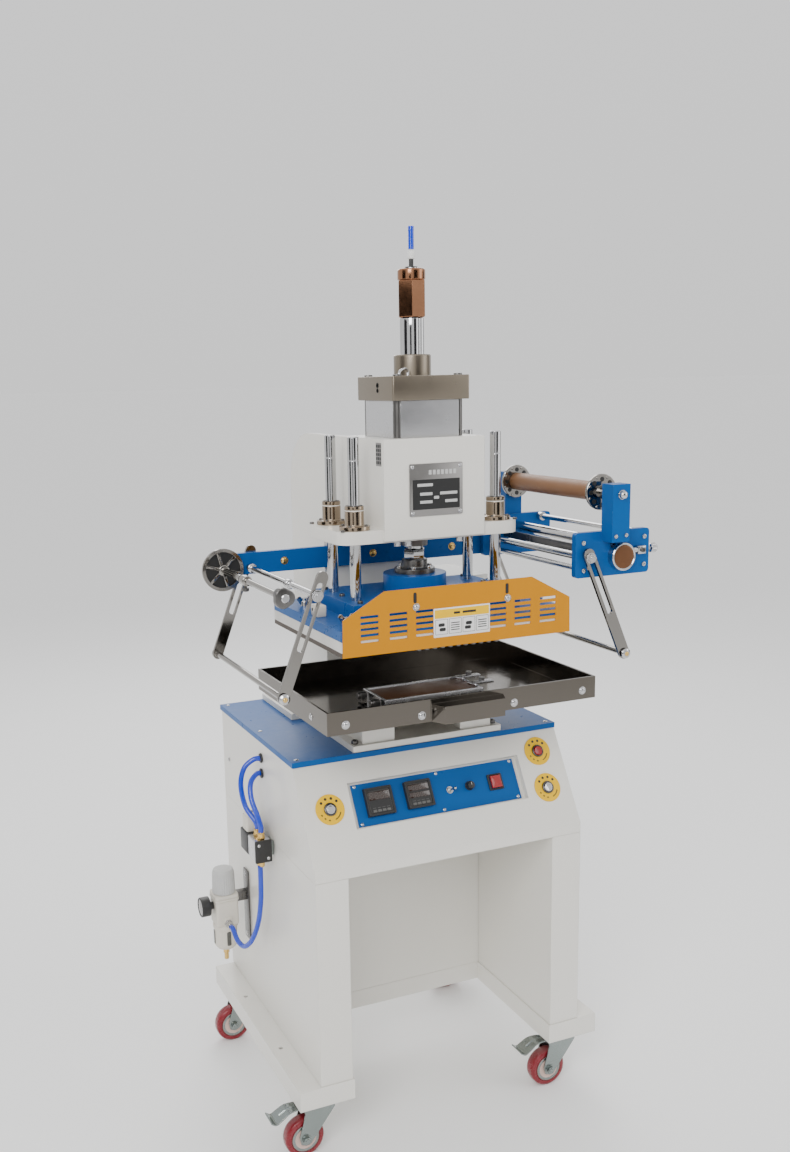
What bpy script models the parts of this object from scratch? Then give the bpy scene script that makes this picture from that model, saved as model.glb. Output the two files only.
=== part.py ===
"""Pneumatic hot foil stamper: a press head on a C-frame, standing on a castor cabinet.

Everything is in metres with +Z up. While it is built, x = 0 is the machine's centre plane,
y = 0 the front of the cabinet and z = 0 the floor. The last step moves the whole machine so that
the origin is at the middle of its footprint.
"""

import math

import bmesh
import bpy
import numpy as np
from mathutils import Matrix, Vector

for leftover in list(bpy.data.objects):
    bpy.data.objects.remove(leftover, do_unlink=True)

# ---------------------------------------------------------------- driving dimensions
GAP = 0.0003  # clearance between two solids that touch
SIDES = 32  # sides of a round piece
SMALL_SIDES = 20

CASTOR_HEIGHT = 0.112
FOOT_HEIGHT = 0.038
FOOT_TOP = CASTOR_HEIGHT + FOOT_HEIGHT
HALF_WIDTH = 0.270  # of the cabinet
DEPTH = 0.508
KNEE = 0.5533  # where the sloping control face starts
OPENING_TOP = 0.5346
SLOPE_BACK = 0.095  # how far the control face leans back
TABLE_TOP = 0.7253
TABLE_THICKNESS = 0.010
TABLE_UNDER = TABLE_TOP - TABLE_THICKNESS
LEG_INNER = 0.208
FOOT_INNER = 0.205
FOOT_OUTER = 0.311
SHEET = 0.004
SLOPE_WALL = 0.014

WHEEL_RADIUS = 0.0375
WHEEL_WIDTH = 0.024
CASTOR_TRAIL = 0.034
CASTOR_X = 0.258
CASTOR_FRONT_Y = 0.040
CASTOR_REAR_Y = 0.460

BASE_TOP = TABLE_TOP + 0.012
COLUMN_FRONT = 0.3418
COLUMN_BACK = 0.516
ARM_HALF = 0.0983
HEAD_BOTTOM = 1.1073
HEAD_TOP = 1.2819
HEAD_FRONT = 0.063
HEAD_BACK = 0.2397
RAM_Y = 0.147

POST_X = 0.140
POST_FRONT_Y = 0.097
POST_REAR_Y = 0.200
POST_RADIUS = 0.010

PLATE_HALF = 0.2205
PLATE_FRONT = -0.0255
PLATE_BACK = 0.300
PLATE_BOTTOM = 0.9335
INSULATION_BOTTOM = 0.9415
COVER_BOTTOM = 0.9600
COVER_TOP = 0.9770
CARRIER_TOP = 1.0030
RAM_DISC_TOP = 1.0350
GUARD_FACE = -0.0278

TRAY_HALF = 0.2608
TRAY_FRONT = -0.051
TRAY_BACK = 0.290
TRAY_BOTTOM = 0.812
TRAY_TOP = 0.8515

BAR_FRONT = 0.330
BAR_BACK = 0.3415
BAR_BOTTOM = 1.0270
BAR_TOP = 1.0675

slope_length = math.hypot(SLOPE_BACK, TABLE_UNDER - KNEE)
slope_up = Vector((0, SLOPE_BACK, TABLE_UNDER - KNEE)) / slope_length
slope_out = Vector((0, -slope_up.z, slope_up.y))


# ---------------------------------------------------------------- materials
def material(name, colour, roughness, metallic=0.0):
    made = bpy.data.materials.get(name)
    if made:
        return made
    made = bpy.data.materials.new(name)
    made.use_nodes = True
    shader = made.node_tree.nodes["Principled BSDF"]
    shader.inputs["Base Color"].default_value = (*colour, 1)
    shader.inputs["Roughness"].default_value = roughness
    shader.inputs["Metallic"].default_value = metallic
    return made


IVORY = material("ivory_powder_coat", (0.80, 0.78, 0.72), 0.35)
BLUE = material("blue_enamel", (0.0, 0.16, 0.55), 0.25)
ORANGE = material("orange_guard_paint", (0.86, 0.38, 0.0), 0.35)
CHROME = material("polished_chrome", (0.80, 0.80, 0.80), 0.08, 1.0)
STAINLESS = material("stainless_sheet", (0.45, 0.43, 0.40), 0.18, 1.0)
ALUMINIUM = material("drawn_aluminium", (0.82, 0.82, 0.84), 0.25, 1.0)
NICKEL = material("champagne_anodised", (0.52, 0.48, 0.42), 0.35, 0.9)
COPPER = material("copper_nut", (0.55, 0.25, 0.10), 0.22, 1.0)
ZINC = material("zinc_plated_steel", (0.52, 0.58, 0.60), 0.3, 1.0)
RED_TREAD = material("red_polyurethane", (0.45, 0.01, 0.03), 0.3)
BLACK = material("black_plastic", (0.02, 0.02, 0.02), 0.4)
RED = material("red_plastic", (0.65, 0.01, 0.01), 0.3)
BOARD = material("insulation_board", (0.75, 0.74, 0.70), 0.7)
IRON = material("heating_plate_iron", (0.16, 0.15, 0.14), 0.5, 0.8)
BRONZE = material("brown_platen", (0.20, 0.09, 0.04), 0.4, 0.6)
CARD = material("foil_core_card", (0.42, 0.24, 0.12), 0.6)
HOSE = material("blue_air_hose", (0.0, 0.09, 0.75), 0.25)
RUBBER = material("black_cable_rubber", (0.015, 0.015, 0.015), 0.5)
GREY = material("grey_regulator_plastic", (0.50, 0.50, 0.50), 0.4)


# ---------------------------------------------------------------- shape helpers
def add(name, mesh_data, finish):
    """A new object from a bmesh, with outward normals and round parts shaded smooth."""
    bmesh.ops.recalc_face_normals(mesh_data, faces=mesh_data.faces)
    mesh = bpy.data.meshes.new(name)
    mesh_data.to_mesh(mesh)
    mesh_data.free()
    mesh.materials.append(finish)
    mesh.shade_smooth()
    mesh.set_sharp_from_angle(angle=math.radians(35))
    obj = bpy.data.objects.new(name, mesh)
    bpy.context.scene.collection.objects.link(obj)
    return obj


def box(name, low, high, finish=IVORY):
    """A block between two corners."""
    bm = bmesh.new()
    bmesh.ops.create_cube(bm, size=1)
    low, high = Vector(low), Vector(high)
    size = high - low
    middle = (low + high) / 2
    bmesh.ops.transform(bm, matrix=Matrix.Translation(middle) @ Matrix.Diagonal((*size, 1)), verts=bm.verts)
    return add(name, bm, finish)


def slope_box(name, x_range, along, depth, finish):
    """A block on the control face: along its slope, and from one depth under its surface to another."""
    bm = bmesh.new()
    bmesh.ops.create_cube(bm, size=1)
    size = (x_range[1] - x_range[0], along[1] - along[0], depth[1] - depth[0])
    middle = on_slope(sum(x_range) / 2, sum(along) / 2, sum(depth) / 2)
    turn = slope_matrix(middle)
    bmesh.ops.transform(bm, matrix=turn @ Matrix.Diagonal((*size, 1)), verts=bm.verts)
    return add(name, bm, finish)


def on_slope(x, along, depth=0.0):
    """The point x across, this far up the control face and this deep under it."""
    return Vector((x, 0, KNEE)) + slope_up * along - slope_out * depth


def slope_matrix(point):
    axes = Matrix((Vector((1, 0, 0)), slope_up, slope_out)).transposed()
    return Matrix.Translation(point) @ axes.to_4x4()


def turned(name, start, direction, profile, finish, sides=SIDES):
    """A solid turned from (distance along the axis, radius) pairs, capped at both ends."""
    bm = bmesh.new()
    rings = []
    for distance, radius in profile:
        ring = []
        for i in range(sides):
            angle = 2 * math.pi * i / sides
            ring.append(bm.verts.new((radius * math.cos(angle), radius * math.sin(angle), distance)))
        rings.append(ring)
    for lower, upper in zip(rings, rings[1:]):
        for i in range(sides):
            j = (i + 1) % sides
            bm.faces.new((lower[i], lower[j], upper[j], upper[i]))
    bm.faces.new(rings[0])
    bm.faces.new(rings[-1])
    turn = Vector((0, 0, 1)).rotation_difference(Vector(direction)).to_matrix().to_4x4()
    bmesh.ops.transform(bm, matrix=Matrix.Translation(Vector(start)) @ turn, verts=bm.verts)
    return add(name, bm, finish)


def rod(name, start, end, radius, finish=CHROME, sides=SMALL_SIDES):
    start, end = Vector(start), Vector(end)
    length = (end - start).length
    return turned(name, start, (end - start) / length, [(0, radius), (length, radius)], finish, sides)


def prism(name, outline, axis, low, high, finish):
    """An outline in the two axes across `axis` (0 = X, 1 = Y, 2 = Z), stretched from low to high."""
    bm = bmesh.new()
    rings = []
    for level in (low, high):
        ring = []
        for a, b in outline:
            point = [a, b]
            point.insert(axis, level)
            ring.append(bm.verts.new(point))
        rings.append(ring)
    count = len(outline)
    for i in range(count):
        j = (i + 1) % count
        bm.faces.new((rings[0][i], rings[0][j], rings[1][j], rings[1][i]))
    bm.faces.new(rings[0])
    bm.faces.new(rings[1])
    return add(name, bm, finish)


def rounded(low, high, radius, steps=5):
    """The outline of a rectangle with round corners."""
    points = []
    corners = ((high[0], high[1], 0), (low[0], high[1], 90), (low[0], low[1], 180), (high[0], low[1], 270))
    for x, y, start in corners:
        centre_x = x - radius if x == high[0] else x + radius
        centre_y = y - radius if y == high[1] else y + radius
        for i in range(steps + 1):
            angle = math.radians(start + 90 * i / steps)
            points.append((centre_x + radius * math.cos(angle), centre_y + radius * math.sin(angle)))
    return points


def strap(top, bottom, half_width, steps=8):
    """The outline of a flat link with round ends."""
    top, bottom = Vector(top), Vector(bottom)
    along = (bottom - top).normalized()
    heading = math.atan2(along.y, along.x)
    points = []
    for centre, start in ((bottom, heading - math.pi / 2), (top, heading + math.pi / 2)):
        for i in range(steps + 1):
            angle = start + math.pi * i / steps
            points.append((centre.x + half_width * math.cos(angle), centre.y + half_width * math.sin(angle)))
    return points


def combine(base, tools, operation="UNION"):
    """Joins the tools to the base, or cuts them from it, and removes them."""
    for tool in tools:
        step = base.modifiers.new("step", "BOOLEAN")
        step.operation = operation
        step.object = tool
        step.solver = "EXACT"
        bpy.context.view_layer.update()
        result = bpy.data.meshes.new_from_object(base.evaluated_get(bpy.context.evaluated_depsgraph_get()))
        base.modifiers.clear()
        finish = base.data.materials[0]
        base.data = result
        base.data.materials.clear()
        base.data.materials.append(finish)
        bpy.data.objects.remove(tool, do_unlink=True)
    base.data.shade_smooth()
    base.data.set_sharp_from_angle(angle=math.radians(35))
    return base


def cut(base, *tools):
    return combine(base, tools, "DIFFERENCE")


def pivot(obj, point):
    """Moves the object's origin to a point on its joint's axis, and leaves its shape where it is."""
    point = Vector(point)
    obj.data.transform(Matrix.Translation(-point))
    obj.location = point
    return obj


def hose(name, points, radius, finish):
    """A round tube on a smooth curve through the points."""
    points = np.array(points, float)
    knots = np.arange(len(points))
    length = np.linalg.norm(np.diff(points, axis=0), axis=1).sum()
    fine = np.linspace(0, len(points) - 1, max(12, int(length / (radius * 5))))
    smooth = np.stack([catmull(knots, points[:, k], fine) for k in range(3)], axis=1)
    curve = bpy.data.curves.new(name, "CURVE")
    curve.dimensions = "3D"
    curve.bevel_depth = radius
    curve.bevel_resolution = 2
    curve.use_fill_caps = True
    spline = curve.splines.new("POLY")
    spline.points.add(len(smooth) - 1)
    for point, place in zip(spline.points, smooth):
        point.co = (*place, 1)
    curve.materials.append(finish)
    obj = bpy.data.objects.new(name, curve)
    bpy.context.scene.collection.objects.link(obj)
    return obj


def catmull(knots, values, at):
    """A cubic through the values whose slope at each is that of the chord between its neighbours."""
    slopes = np.gradient(values, knots)
    index = np.clip(at.astype(int), 0, len(knots) - 2)
    t = at - index
    start, end = values[index], values[index + 1]
    return (
        (2 * t**3 - 3 * t**2 + 1) * start
        + (t**3 - 2 * t**2 + t) * slopes[index]
        + (3 * t**2 - 2 * t**3) * end
        + (t**3 - t**2) * slopes[index + 1]
    )


# ---------------------------------------------------------------- cabinet
def make_cabinet():
    """The upper box of the cabinet: a folded sheet shell, open at the back, with a sloping front."""
    outline = [(0, OPENING_TOP), (0, KNEE), (SLOPE_BACK, TABLE_UNDER - GAP), (DEPTH, TABLE_UNDER - GAP)]
    outline.append((DEPTH, OPENING_TOP))
    shell = prism("cabinet_housing", outline, 0, -HALF_WIDTH, HALF_WIDTH, IVORY)
    top, bottom = TABLE_UNDER - SHEET, OPENING_TOP + SHEET
    front = on_slope(0, 0, SLOPE_WALL)
    lean = slope_up.y / slope_up.z
    inside = [
        (front.y + (bottom - front.z) * lean, bottom),
        (front.y + (top - front.z) * lean, top),
        (DEPTH + 0.01, top),
        (DEPTH + 0.01, bottom),
    ]
    inner_half = HALF_WIDTH - SHEET
    hollow = prism("hollow", inside, 0, -inner_half, inner_half, IVORY)
    pocket = slope_box("pocket", (-0.1755, 0.1755), (0.0627, 0.1460), (-0.01, 0.012), IVORY)
    cut(shell, hollow, pocket)
    for x, along in BUTTON_PLACES.values():
        hole = rod("hole", on_slope(x, along, 0.03), on_slope(x, along, -0.01), 0.0112)
        cut(shell, hole)
    for z in (0.685, 0.655):
        hole = rod("hole", (-HALF_WIDTH - 0.01, HOSE_WALL_Y, z), (-HALF_WIDTH + 0.01, HOSE_WALL_Y, z), 0.0062)
        cut(shell, hole)
    cover_edge = 0.0005
    box(
        "rear_cover",
        (-inner_half + cover_edge, DEPTH - 0.003, bottom + cover_edge),
        (inner_half - cover_edge, DEPTH, top - cover_edge),
    )


BUTTON_PLACES = {
    "emergency_stop_button": (0.2200, 0.1470),
    "right_start_button": (0.2205, 0.0760),
    "left_start_button": (-0.2175, 0.1053),
}
HOSE_WALL_Y = 0.262


def make_legs():
    for side, sign in (("left", -1), ("right", 1)):
        inner, outer = sign * LEG_INNER, sign * HALF_WIDTH
        low, high = min(inner, outer), max(inner, outer)
        leg = box(f"{side}_leg", (low, 0, FOOT_TOP + GAP), (high, DEPTH, OPENING_TOP - GAP))
        wall = 0.003
        void = box(
            "void",
            (low + wall, wall, FOOT_TOP + wall),
            (high - wall, DEPTH - wall, OPENING_TOP + 0.01),
        )
        cut(leg, void)


def make_base_frame():
    """Two box-section runners, open at the back, joined by a rail, with the castor plates underneath."""
    plate_drop = 0.004
    front, back = -0.002, 0.503
    runners = []
    for side, sign in (("left", -1), ("right", 1)):
        low, high = sorted((sign * FOOT_INNER, sign * FOOT_OUTER))
        foot = box(f"{side}_runner", (low, front, CASTOR_HEIGHT), (high, back, FOOT_TOP))
        void = box(
            "void",
            (low + SHEET, front + SHEET, CASTOR_HEIGHT + SHEET),
            (high - SHEET, back + 0.01, FOOT_TOP - SHEET),
        )
        cut(foot, void)
        plates = []
        for y in (CASTOR_FRONT_Y, CASTOR_REAR_Y):
            x = sign * CASTOR_X
            plates.append(
                box(
                    "plate",
                    (x - 0.044, y - 0.032, CASTOR_HEIGHT - plate_drop),
                    (x + 0.044, y + 0.032, CASTOR_HEIGHT + 0.001),
                )
            )
        combine(foot, plates)
        for y in (0.148, 0.355):
            cut(
                foot, rod(
                    "hole", (sign * 0.292, y, FOOT_TOP - 0.01), (sign * 0.292, y, FOOT_TOP + 0.01), 0.0042
                )
            )
        runners.append(foot)
    reach = FOOT_INNER + 0.001
    rail = box("base_frame", (-reach, 0.278, CASTOR_HEIGHT), (reach, 0.318, FOOT_TOP))
    combine(rail, runners)


def make_rear_wall():
    box("rear_wall", (-0.2077, 0.278, FOOT_TOP + GAP), (0.2077, 0.282, OPENING_TOP - GAP))


def make_castor(name, x, y, braked):
    """A swivel castor. Its fork turns about the upright through (x, y) and its wheel about a level axle."""
    wheel_x = x - CASTOR_TRAIL
    raceway_top = CASTOR_HEIGHT - 0.004 - GAP
    fork_top = raceway_top - 0.005
    fork = turned(
        f"{name}_castor_fork", (x, y, fork_top), (0, 0, 1),
        [(-0.002, 0.024), (raceway_top - fork_top, 0.022)], ZINC
    )
    crown = box("crown", (x - 0.036, y - 0.0175, fork_top - 0.003), (x + 0.024, y + 0.0175, fork_top), ZINC)
    cheek_top = fork_top - 0.001
    cheek_outline = [
        (x + 0.023, cheek_top),
        (x + 0.023, fork_top - 0.012),
        (wheel_x + 0.010, WHEEL_RADIUS - 0.008),
        (wheel_x, WHEEL_RADIUS - 0.012),
        (wheel_x - 0.010, WHEEL_RADIUS - 0.008),
        (wheel_x - 0.013, WHEEL_RADIUS + 0.006),
        (x - 0.035, fork_top - 0.018),
        (x - 0.035, cheek_top),
    ]
    cheeks = []
    for side in (-1, 1):
        low, high = sorted((side * 0.0145, side * 0.0170))
        cheeks.append(prism("cheek", cheek_outline, 1, y + low, y + high, ZINC))
    axle = rod("axle", (wheel_x, y - 0.021, WHEEL_RADIUS), (wheel_x, y + 0.021, WHEEL_RADIUS), 0.005, ZINC)
    combine(fork, [crown, *cheeks, axle])
    pivot(fork, (x, y, fork_top))
    wheel = turned(
        f"{name}_castor_wheel",
        (wheel_x, y - WHEEL_WIDTH / 2, WHEEL_RADIUS),
        (0, 1, 0),
        [
            (0, WHEEL_RADIUS - 0.003), (0.004, WHEEL_RADIUS), (0.020, WHEEL_RADIUS),
            (0.024, WHEEL_RADIUS - 0.003)
        ],
        RED_TREAD,
    )
    cut(wheel, rod("bore", (wheel_x, y - 0.03, WHEEL_RADIUS), (wheel_x, y + 0.03, WHEEL_RADIUS), 0.0056))
    pivot(wheel, (wheel_x, y, WHEEL_RADIUS))
    if braked:
        hinge = (x - 0.040, y, 0.092)
        outline = [(-0.001, 0.004), (-0.030, 0.001), (-0.052, -0.009), (-0.060, -0.006), (-0.058, -0.002)]
        outline += [(-0.034, 0.006), (-0.001, 0.009)]
        outline = [(hinge[0] + a, hinge[2] + b) for a, b in outline]
        pedal = prism(f"{name}_brake_pedal", outline, 1, y - 0.017, y + 0.017, ZINC)
        pivot(pedal, hinge)


# ---------------------------------------------------------------- controls
def make_controls():
    panel_top = 0.0095
    panel_under = 0.0117
    slope_box("control_panel", (-0.1668, 0.1668), (0.0662, 0.1424), (panel_top, panel_under), BLUE)
    seat = panel_top - GAP
    slope_box("temperature_controller", (-0.1465, -0.0935), (0.0805, 0.1315), (0.0012, seat), BLACK)
    slope_box("dwell_timer", (-0.0670, -0.0150), (0.0820, 0.1310), (0.0012, seat), BLACK)
    knob_at = on_slope(0.065, 0.1055, seat)
    dial = turned("dial_knob", knob_at, slope_out, [(0, 0.0085), (0.010, 0.0080), (0.012, 0.0065)], BLACK)
    pivot(dial, knob_at)
    lever_at = on_slope(0.0242, 0.1042, seat - 0.003)
    toggle = turned(
        "toggle_lever", lever_at, slope_out, [(0, 0.0020), (0.013, 0.0030), (0.015, 0.0018)], CHROME,
        SMALL_SIDES
    )
    pivot(toggle, lever_at)
    rocker = slope_box("power_rocker", (0.1095, 0.1305), (0.0930, 0.1160), (0.0020, 0.0065), RED)
    pivot(rocker, on_slope(0.120, 0.1045, 0.0065))
    for name, (x, along) in BUTTON_PLACES.items():
        finish = RED if name == "emergency_stop_button" else CHROME
        button = turned(
            name,
            on_slope(x, along, 0.012),
            slope_out,
            [(0, 0.0070), (0.010, 0.0070), (0.010, 0.0088), (0.0165, 0.0088), (0.018, 0.0078)],
            finish,
        )
        pivot(button, on_slope(x, along))


# ---------------------------------------------------------------- press frame
def make_frame():
    box("tabletop_plate", (-0.271, SLOPE_BACK - 0.002, TABLE_UNDER), (0.271, 0.518, TABLE_TOP), BLUE)
    base = box("slide_base", (-0.152, 0.095, TABLE_TOP + GAP), (0.152, 0.3425, BASE_TOP))
    rails = [
        box("rail", (low, 0.100, BASE_TOP - 0.002), (high, 0.285, TRAY_BOTTOM - GAP))
        for low, high in ((-0.132, -0.068), (0.068, 0.132))
    ]
    combine(base, rails)

    corner = 0.100
    outline = [
        (COLUMN_FRONT, TABLE_TOP + GAP),
        (COLUMN_BACK, TABLE_TOP + GAP),
        (COLUMN_BACK, HEAD_TOP - corner),
    ]
    for i in range(1, 9):
        angle = math.radians(90 * i / 8)
        outline.append(
            (COLUMN_BACK - corner + corner * math.cos(angle), HEAD_TOP - corner + corner * math.sin(angle))
        )
    outline += [(HEAD_BACK + GAP, HEAD_TOP), (HEAD_BACK + GAP, HEAD_BOTTOM), (COLUMN_FRONT, HEAD_BOTTOM)]
    column = prism("press_column", outline, 0, -ARM_HALF, ARM_HALF, IVORY)
    flange = box("flange", (-0.1776, 0.3415, TABLE_TOP + GAP), (0.1530, 0.517, BASE_TOP))
    combine(column, [flange, base])
    wall = 0.012
    half = ARM_HALF - wall
    cut(
        column,
        box("void", (-half, COLUMN_FRONT + wall, BASE_TOP), (half, COLUMN_BACK - wall, HEAD_TOP + 0.01)),
        box(
            "void", (-half, HEAD_BACK + wall, HEAD_BOTTOM + wall), (half, COLUMN_BACK - wall, HEAD_TOP + 0.01)
        ),
    )

    box("electrics_box", (0.157, 0.320, TABLE_TOP + GAP), (0.254, 0.474, 0.985))


def make_head():
    """The head block with its ears and the four guide bushings."""
    head = box("head_block", (-ARM_HALF, HEAD_FRONT, HEAD_BOTTOM), (ARM_HALF, HEAD_BACK, HEAD_TOP))
    wall = 0.012
    cut(
        head,
        box(
            "pocket",
            (-ARM_HALF + wall, HEAD_FRONT + wall, HEAD_BOTTOM - 0.01),
            (ARM_HALF - wall, HEAD_BACK - wall, HEAD_TOP - wall),
        ),
    )
    ear_bottom, ear_top = 1.1045, 1.1275
    ears = prism("ears", rounded((-0.178, 0.068), (0.178, 0.232), 0.028), 2, ear_bottom, ear_top, IVORY)
    combine(head, [ears])
    for x in (-POST_X, POST_X):
        for y in (POST_FRONT_Y, POST_REAR_Y):
            bushing = turned(
                "bushing",
                (x, y, ear_top - 0.001),
                (0, 0, 1),
                [(0, 0.0265), (0.007, 0.0265), (0.007, 0.0163), (0.0415, 0.0163)],
                IVORY,
            )
            combine(head, [bushing])
            cut(head, rod("bore", (x, y, 1.0), (x, y, 1.3), POST_RADIUS + 0.0006, sides=SIDES))
    cut(
        head,
        rod("bore", (0, RAM_Y, HEAD_BOTTOM - 0.01), (0, RAM_Y, 1.15), 0.0245, sides=SIDES),
        rod("bore", (0, RAM_Y, 1.20), (0, RAM_Y, HEAD_TOP + 0.01), 0.0510, sides=SIDES),
    )


def make_cylinder():
    cap_bottom, cap_top, hub_top = 1.3459, 1.3875, 1.4240
    tie_offset, tie_radius = 0.0590, 0.0075
    half = tie_offset + tie_radius
    barrel_low, barrel_high = (-half, RAM_Y - half), (half, RAM_Y + half)
    outline = rounded(barrel_low, barrel_high, tie_radius)
    barrel = prism("cylinder_barrel", outline, 2, HEAD_TOP + GAP, cap_bottom - GAP, ALUMINIUM)
    cut(barrel, rod("bore", (0, RAM_Y, 1.2), (0, RAM_Y, 1.4), 0.0510, sides=SIDES))
    for sign_x in (-1, 1):
        for sign_y in (-1, 1):
            x, y = sign_x * tie_offset, RAM_Y + sign_y * tie_offset
            cut(barrel, rod("groove", (x, y, 1.2), (x, y, 1.4), tie_radius + GAP, sides=32))
    cap_half = 0.0743
    cap = box(
        "cylinder_cap", (-cap_half, RAM_Y - cap_half, cap_bottom), (cap_half, RAM_Y + cap_half, cap_top),
        NICKEL
    )
    hub = rod("hub", (0, RAM_Y, cap_top - 0.001), (0, RAM_Y, hub_top), 0.0330, NICKEL, SIDES)
    ties = [
        rod("tie", (sx * tie_offset, RAM_Y + sy * tie_offset, HEAD_TOP + GAP),
            (sx * tie_offset, RAM_Y + sy * tie_offset, cap_bottom + 0.001), tie_radius, NICKEL)
        for sx in (-1, 1)
        for sy in (-1, 1)
    ]
    combine(cap, [hub, *ties])
    cut(cap, rod("bore", (0, RAM_Y, 1.3), (0, RAM_Y, 1.5), 0.0222, sides=SIDES))

    flange = RAM_DISC_TOP + GAP
    profile = [
        (flange, 0.0370),
        (flange + 0.009, 0.0370),
        (flange + 0.009, 0.0165),
        (1.318, 0.0165),
        (1.318, 0.0495),
        (1.338, 0.0495),
        (1.338, 0.0215),
        (1.4866, 0.0215),
        (1.4866, 0.0140),
        (1.5720, 0.0140),
        (1.5720, 0.0038),
        (1.5885, 0.0038),
        (1.5885, 0.0060),
        (1.6025, 0.0060),
    ]
    ram = turned("piston_rod", (0, RAM_Y, 0), (0, 0, 1), profile, CHROME)
    pivot(ram, (0, RAM_Y, HEAD_BOTTOM))
    nut_bottom = 1.4869
    nut = turned(
        "stroke_nut", (0, RAM_Y, nut_bottom), (0, 0, 1),
        [
            (0, 0.0240), (0.002, 0.0262), (0.0640, 0.0262), (0.0655, 0.0240), (0.0670, 0.0262),
            (0.0828, 0.0250)
        ],
        COPPER, 6,
    )
    cut(nut, rod("bore", (0, RAM_Y, 1.4), (0, RAM_Y, 1.6), 0.0146, sides=SIDES))
    nut.data.transform(
        Matrix.Translation((0, RAM_Y, 0)) @ Matrix.Rotation(0.10, 4, "Z") @ Matrix.Translation((0, -RAM_Y, 0))
    )
    pivot(nut, (0, RAM_Y, nut_bottom))
    hose("top_port_plug", [(0, RAM_Y, z) for z in np.linspace(1.6028, 1.642, 4)], 0.0052, HOSE)


# ---------------------------------------------------------------- moving platen
def make_platen():
    box(
        "heating_plate", (-PLATE_HALF, PLATE_FRONT, PLATE_BOTTOM),
        (PLATE_HALF, PLATE_BACK, INSULATION_BOTTOM - GAP), IRON
    )
    box(
        "insulation_board", (-PLATE_HALF, PLATE_FRONT, INSULATION_BOTTOM),
        (PLATE_HALF, PLATE_BACK, COVER_BOTTOM - GAP), BOARD
    )
    cover = box(
        "platen_cover", (-PLATE_HALF, PLATE_FRONT, COVER_BOTTOM), (PLATE_HALF, PLATE_BACK, COVER_TOP), BLUE
    )
    carrier = box("carrier", (-0.165, 0.050, COVER_TOP - 0.002), (0.165, 0.245, CARRIER_TOP), BLUE)
    disc = rod("disc", (0, RAM_Y, CARRIER_TOP - 0.002), (0, RAM_Y, RAM_DISC_TOP), 0.0570, BLUE, SIDES)
    combine(cover, [carrier, disc])
    for side, x in (("left", -POST_X), ("right", POST_X)):
        for place, y in (("front", POST_FRONT_Y), ("rear", POST_REAR_Y)):
            post = rod(
                f"{side}_{place}_guide_post", (x, y, CARRIER_TOP + GAP), (x, y, 1.2872), POST_RADIUS,
                CHROME, 24
            )
            pivot(post, (x, y, CARRIER_TOP + GAP))

    shoulder, top = 0.9965, 1.0390
    outline = [
        (-0.2202, PLATE_BOTTOM),
        (0.2202, PLATE_BOTTOM),
        (0.2190, shoulder),
        (0.1410, top),
        (-0.1430, top),
        (-0.2190, shoulder),
    ]
    guard = prism("safety_guard", outline, 1, GUARD_FACE, PLATE_FRONT - GAP, ORANGE)
    slots = bmesh.new()
    louvre_width, louvre_height, pitch = 0.0330, 0.0045, 0.0102
    for x in (-0.171, -0.118, -0.069, 0.073, 0.1225, 0.174):
        for row in range(5):
            middle = Vector((x, GUARD_FACE, 0.958 + row * pitch))
            place = Matrix.Translation(middle) @ Matrix.Diagonal((louvre_width, 0.02, louvre_height, 1))
            bmesh.ops.create_cube(slots, size=1, matrix=place)
    cut(guard, add("slots", slots, ORANGE))


# ---------------------------------------------------------------- sliding tray
def make_tray():
    tray = box(
        "work_tray", (-TRAY_HALF, TRAY_FRONT, TRAY_BOTTOM), (TRAY_HALF, TRAY_BACK, TRAY_TOP), STAINLESS
    )
    wall = 0.004
    inner = box(
        "inner",
        (-TRAY_HALF + wall, TRAY_FRONT + wall, TRAY_BOTTOM + wall),
        (TRAY_HALF - wall, TRAY_BACK - wall, TRAY_TOP + 0.01),
    )
    cut(tray, inner)
    floor = TRAY_BOTTOM + wall + GAP
    box("lower_platen", (-0.120, 0.026, floor), (0.075, 0.120, 0.836), BRONZE)
    low, high = TRAY_BOTTOM, 0.843
    root, lip, root_y, lip_y = 0.070, 0.058, TRAY_FRONT + 0.001, -0.078
    grip_outline = [(-root, root_y), (-lip, lip_y), (lip, lip_y), (root, root_y)]
    grip = prism("grip", grip_outline, 2, low, high, STAINLESS)
    cut(
        grip, box(
            "finger_space", (-0.054, lip_y + 0.003, low - 0.01), (0.054, TRAY_FRONT - 0.001, high - 0.003)
        )
    )
    combine(tray, [grip])


# ---------------------------------------------------------------- foil units
LEFT_PIVOT = (-0.2585, 1.0410)
RIGHT_PIVOT = (0.2666, 1.0610)
UNWIND = (-0.3110, 1.0400)
SPOOL = (0.3170, 1.1725)


def along_y(name, place, start, end, radius, finish=CHROME, sides=SMALL_SIDES):
    """A round bar that runs front to back at (x, z) = place."""
    return rod(name, (place[0], start, place[1]), (place[0], end, place[1]), radius, finish, sides)


def swing_frame(name, pivot_place, top, bottom, front_y, rear_y, half_width, slot):
    """Two slotted links joined at the bottom by a rod: the loop that keeps the foil tight."""
    thickness = 0.006
    pieces = []
    for y in (front_y, rear_y):
        link = prism("link", strap(top, bottom, half_width), 1, y, y + thickness, CHROME)
        cut(link, prism("slot", strap(slot[0], slot[1], 0.0056), 1, y - 0.01, y + 0.02, CHROME))
        pieces.append(link)
    bar = along_y(name, bottom, front_y - 0.002, rear_y + thickness + 0.002, 0.0052)
    combine(bar, pieces)
    pivot(bar, (pivot_place[0], front_y, pivot_place[1]))


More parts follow.
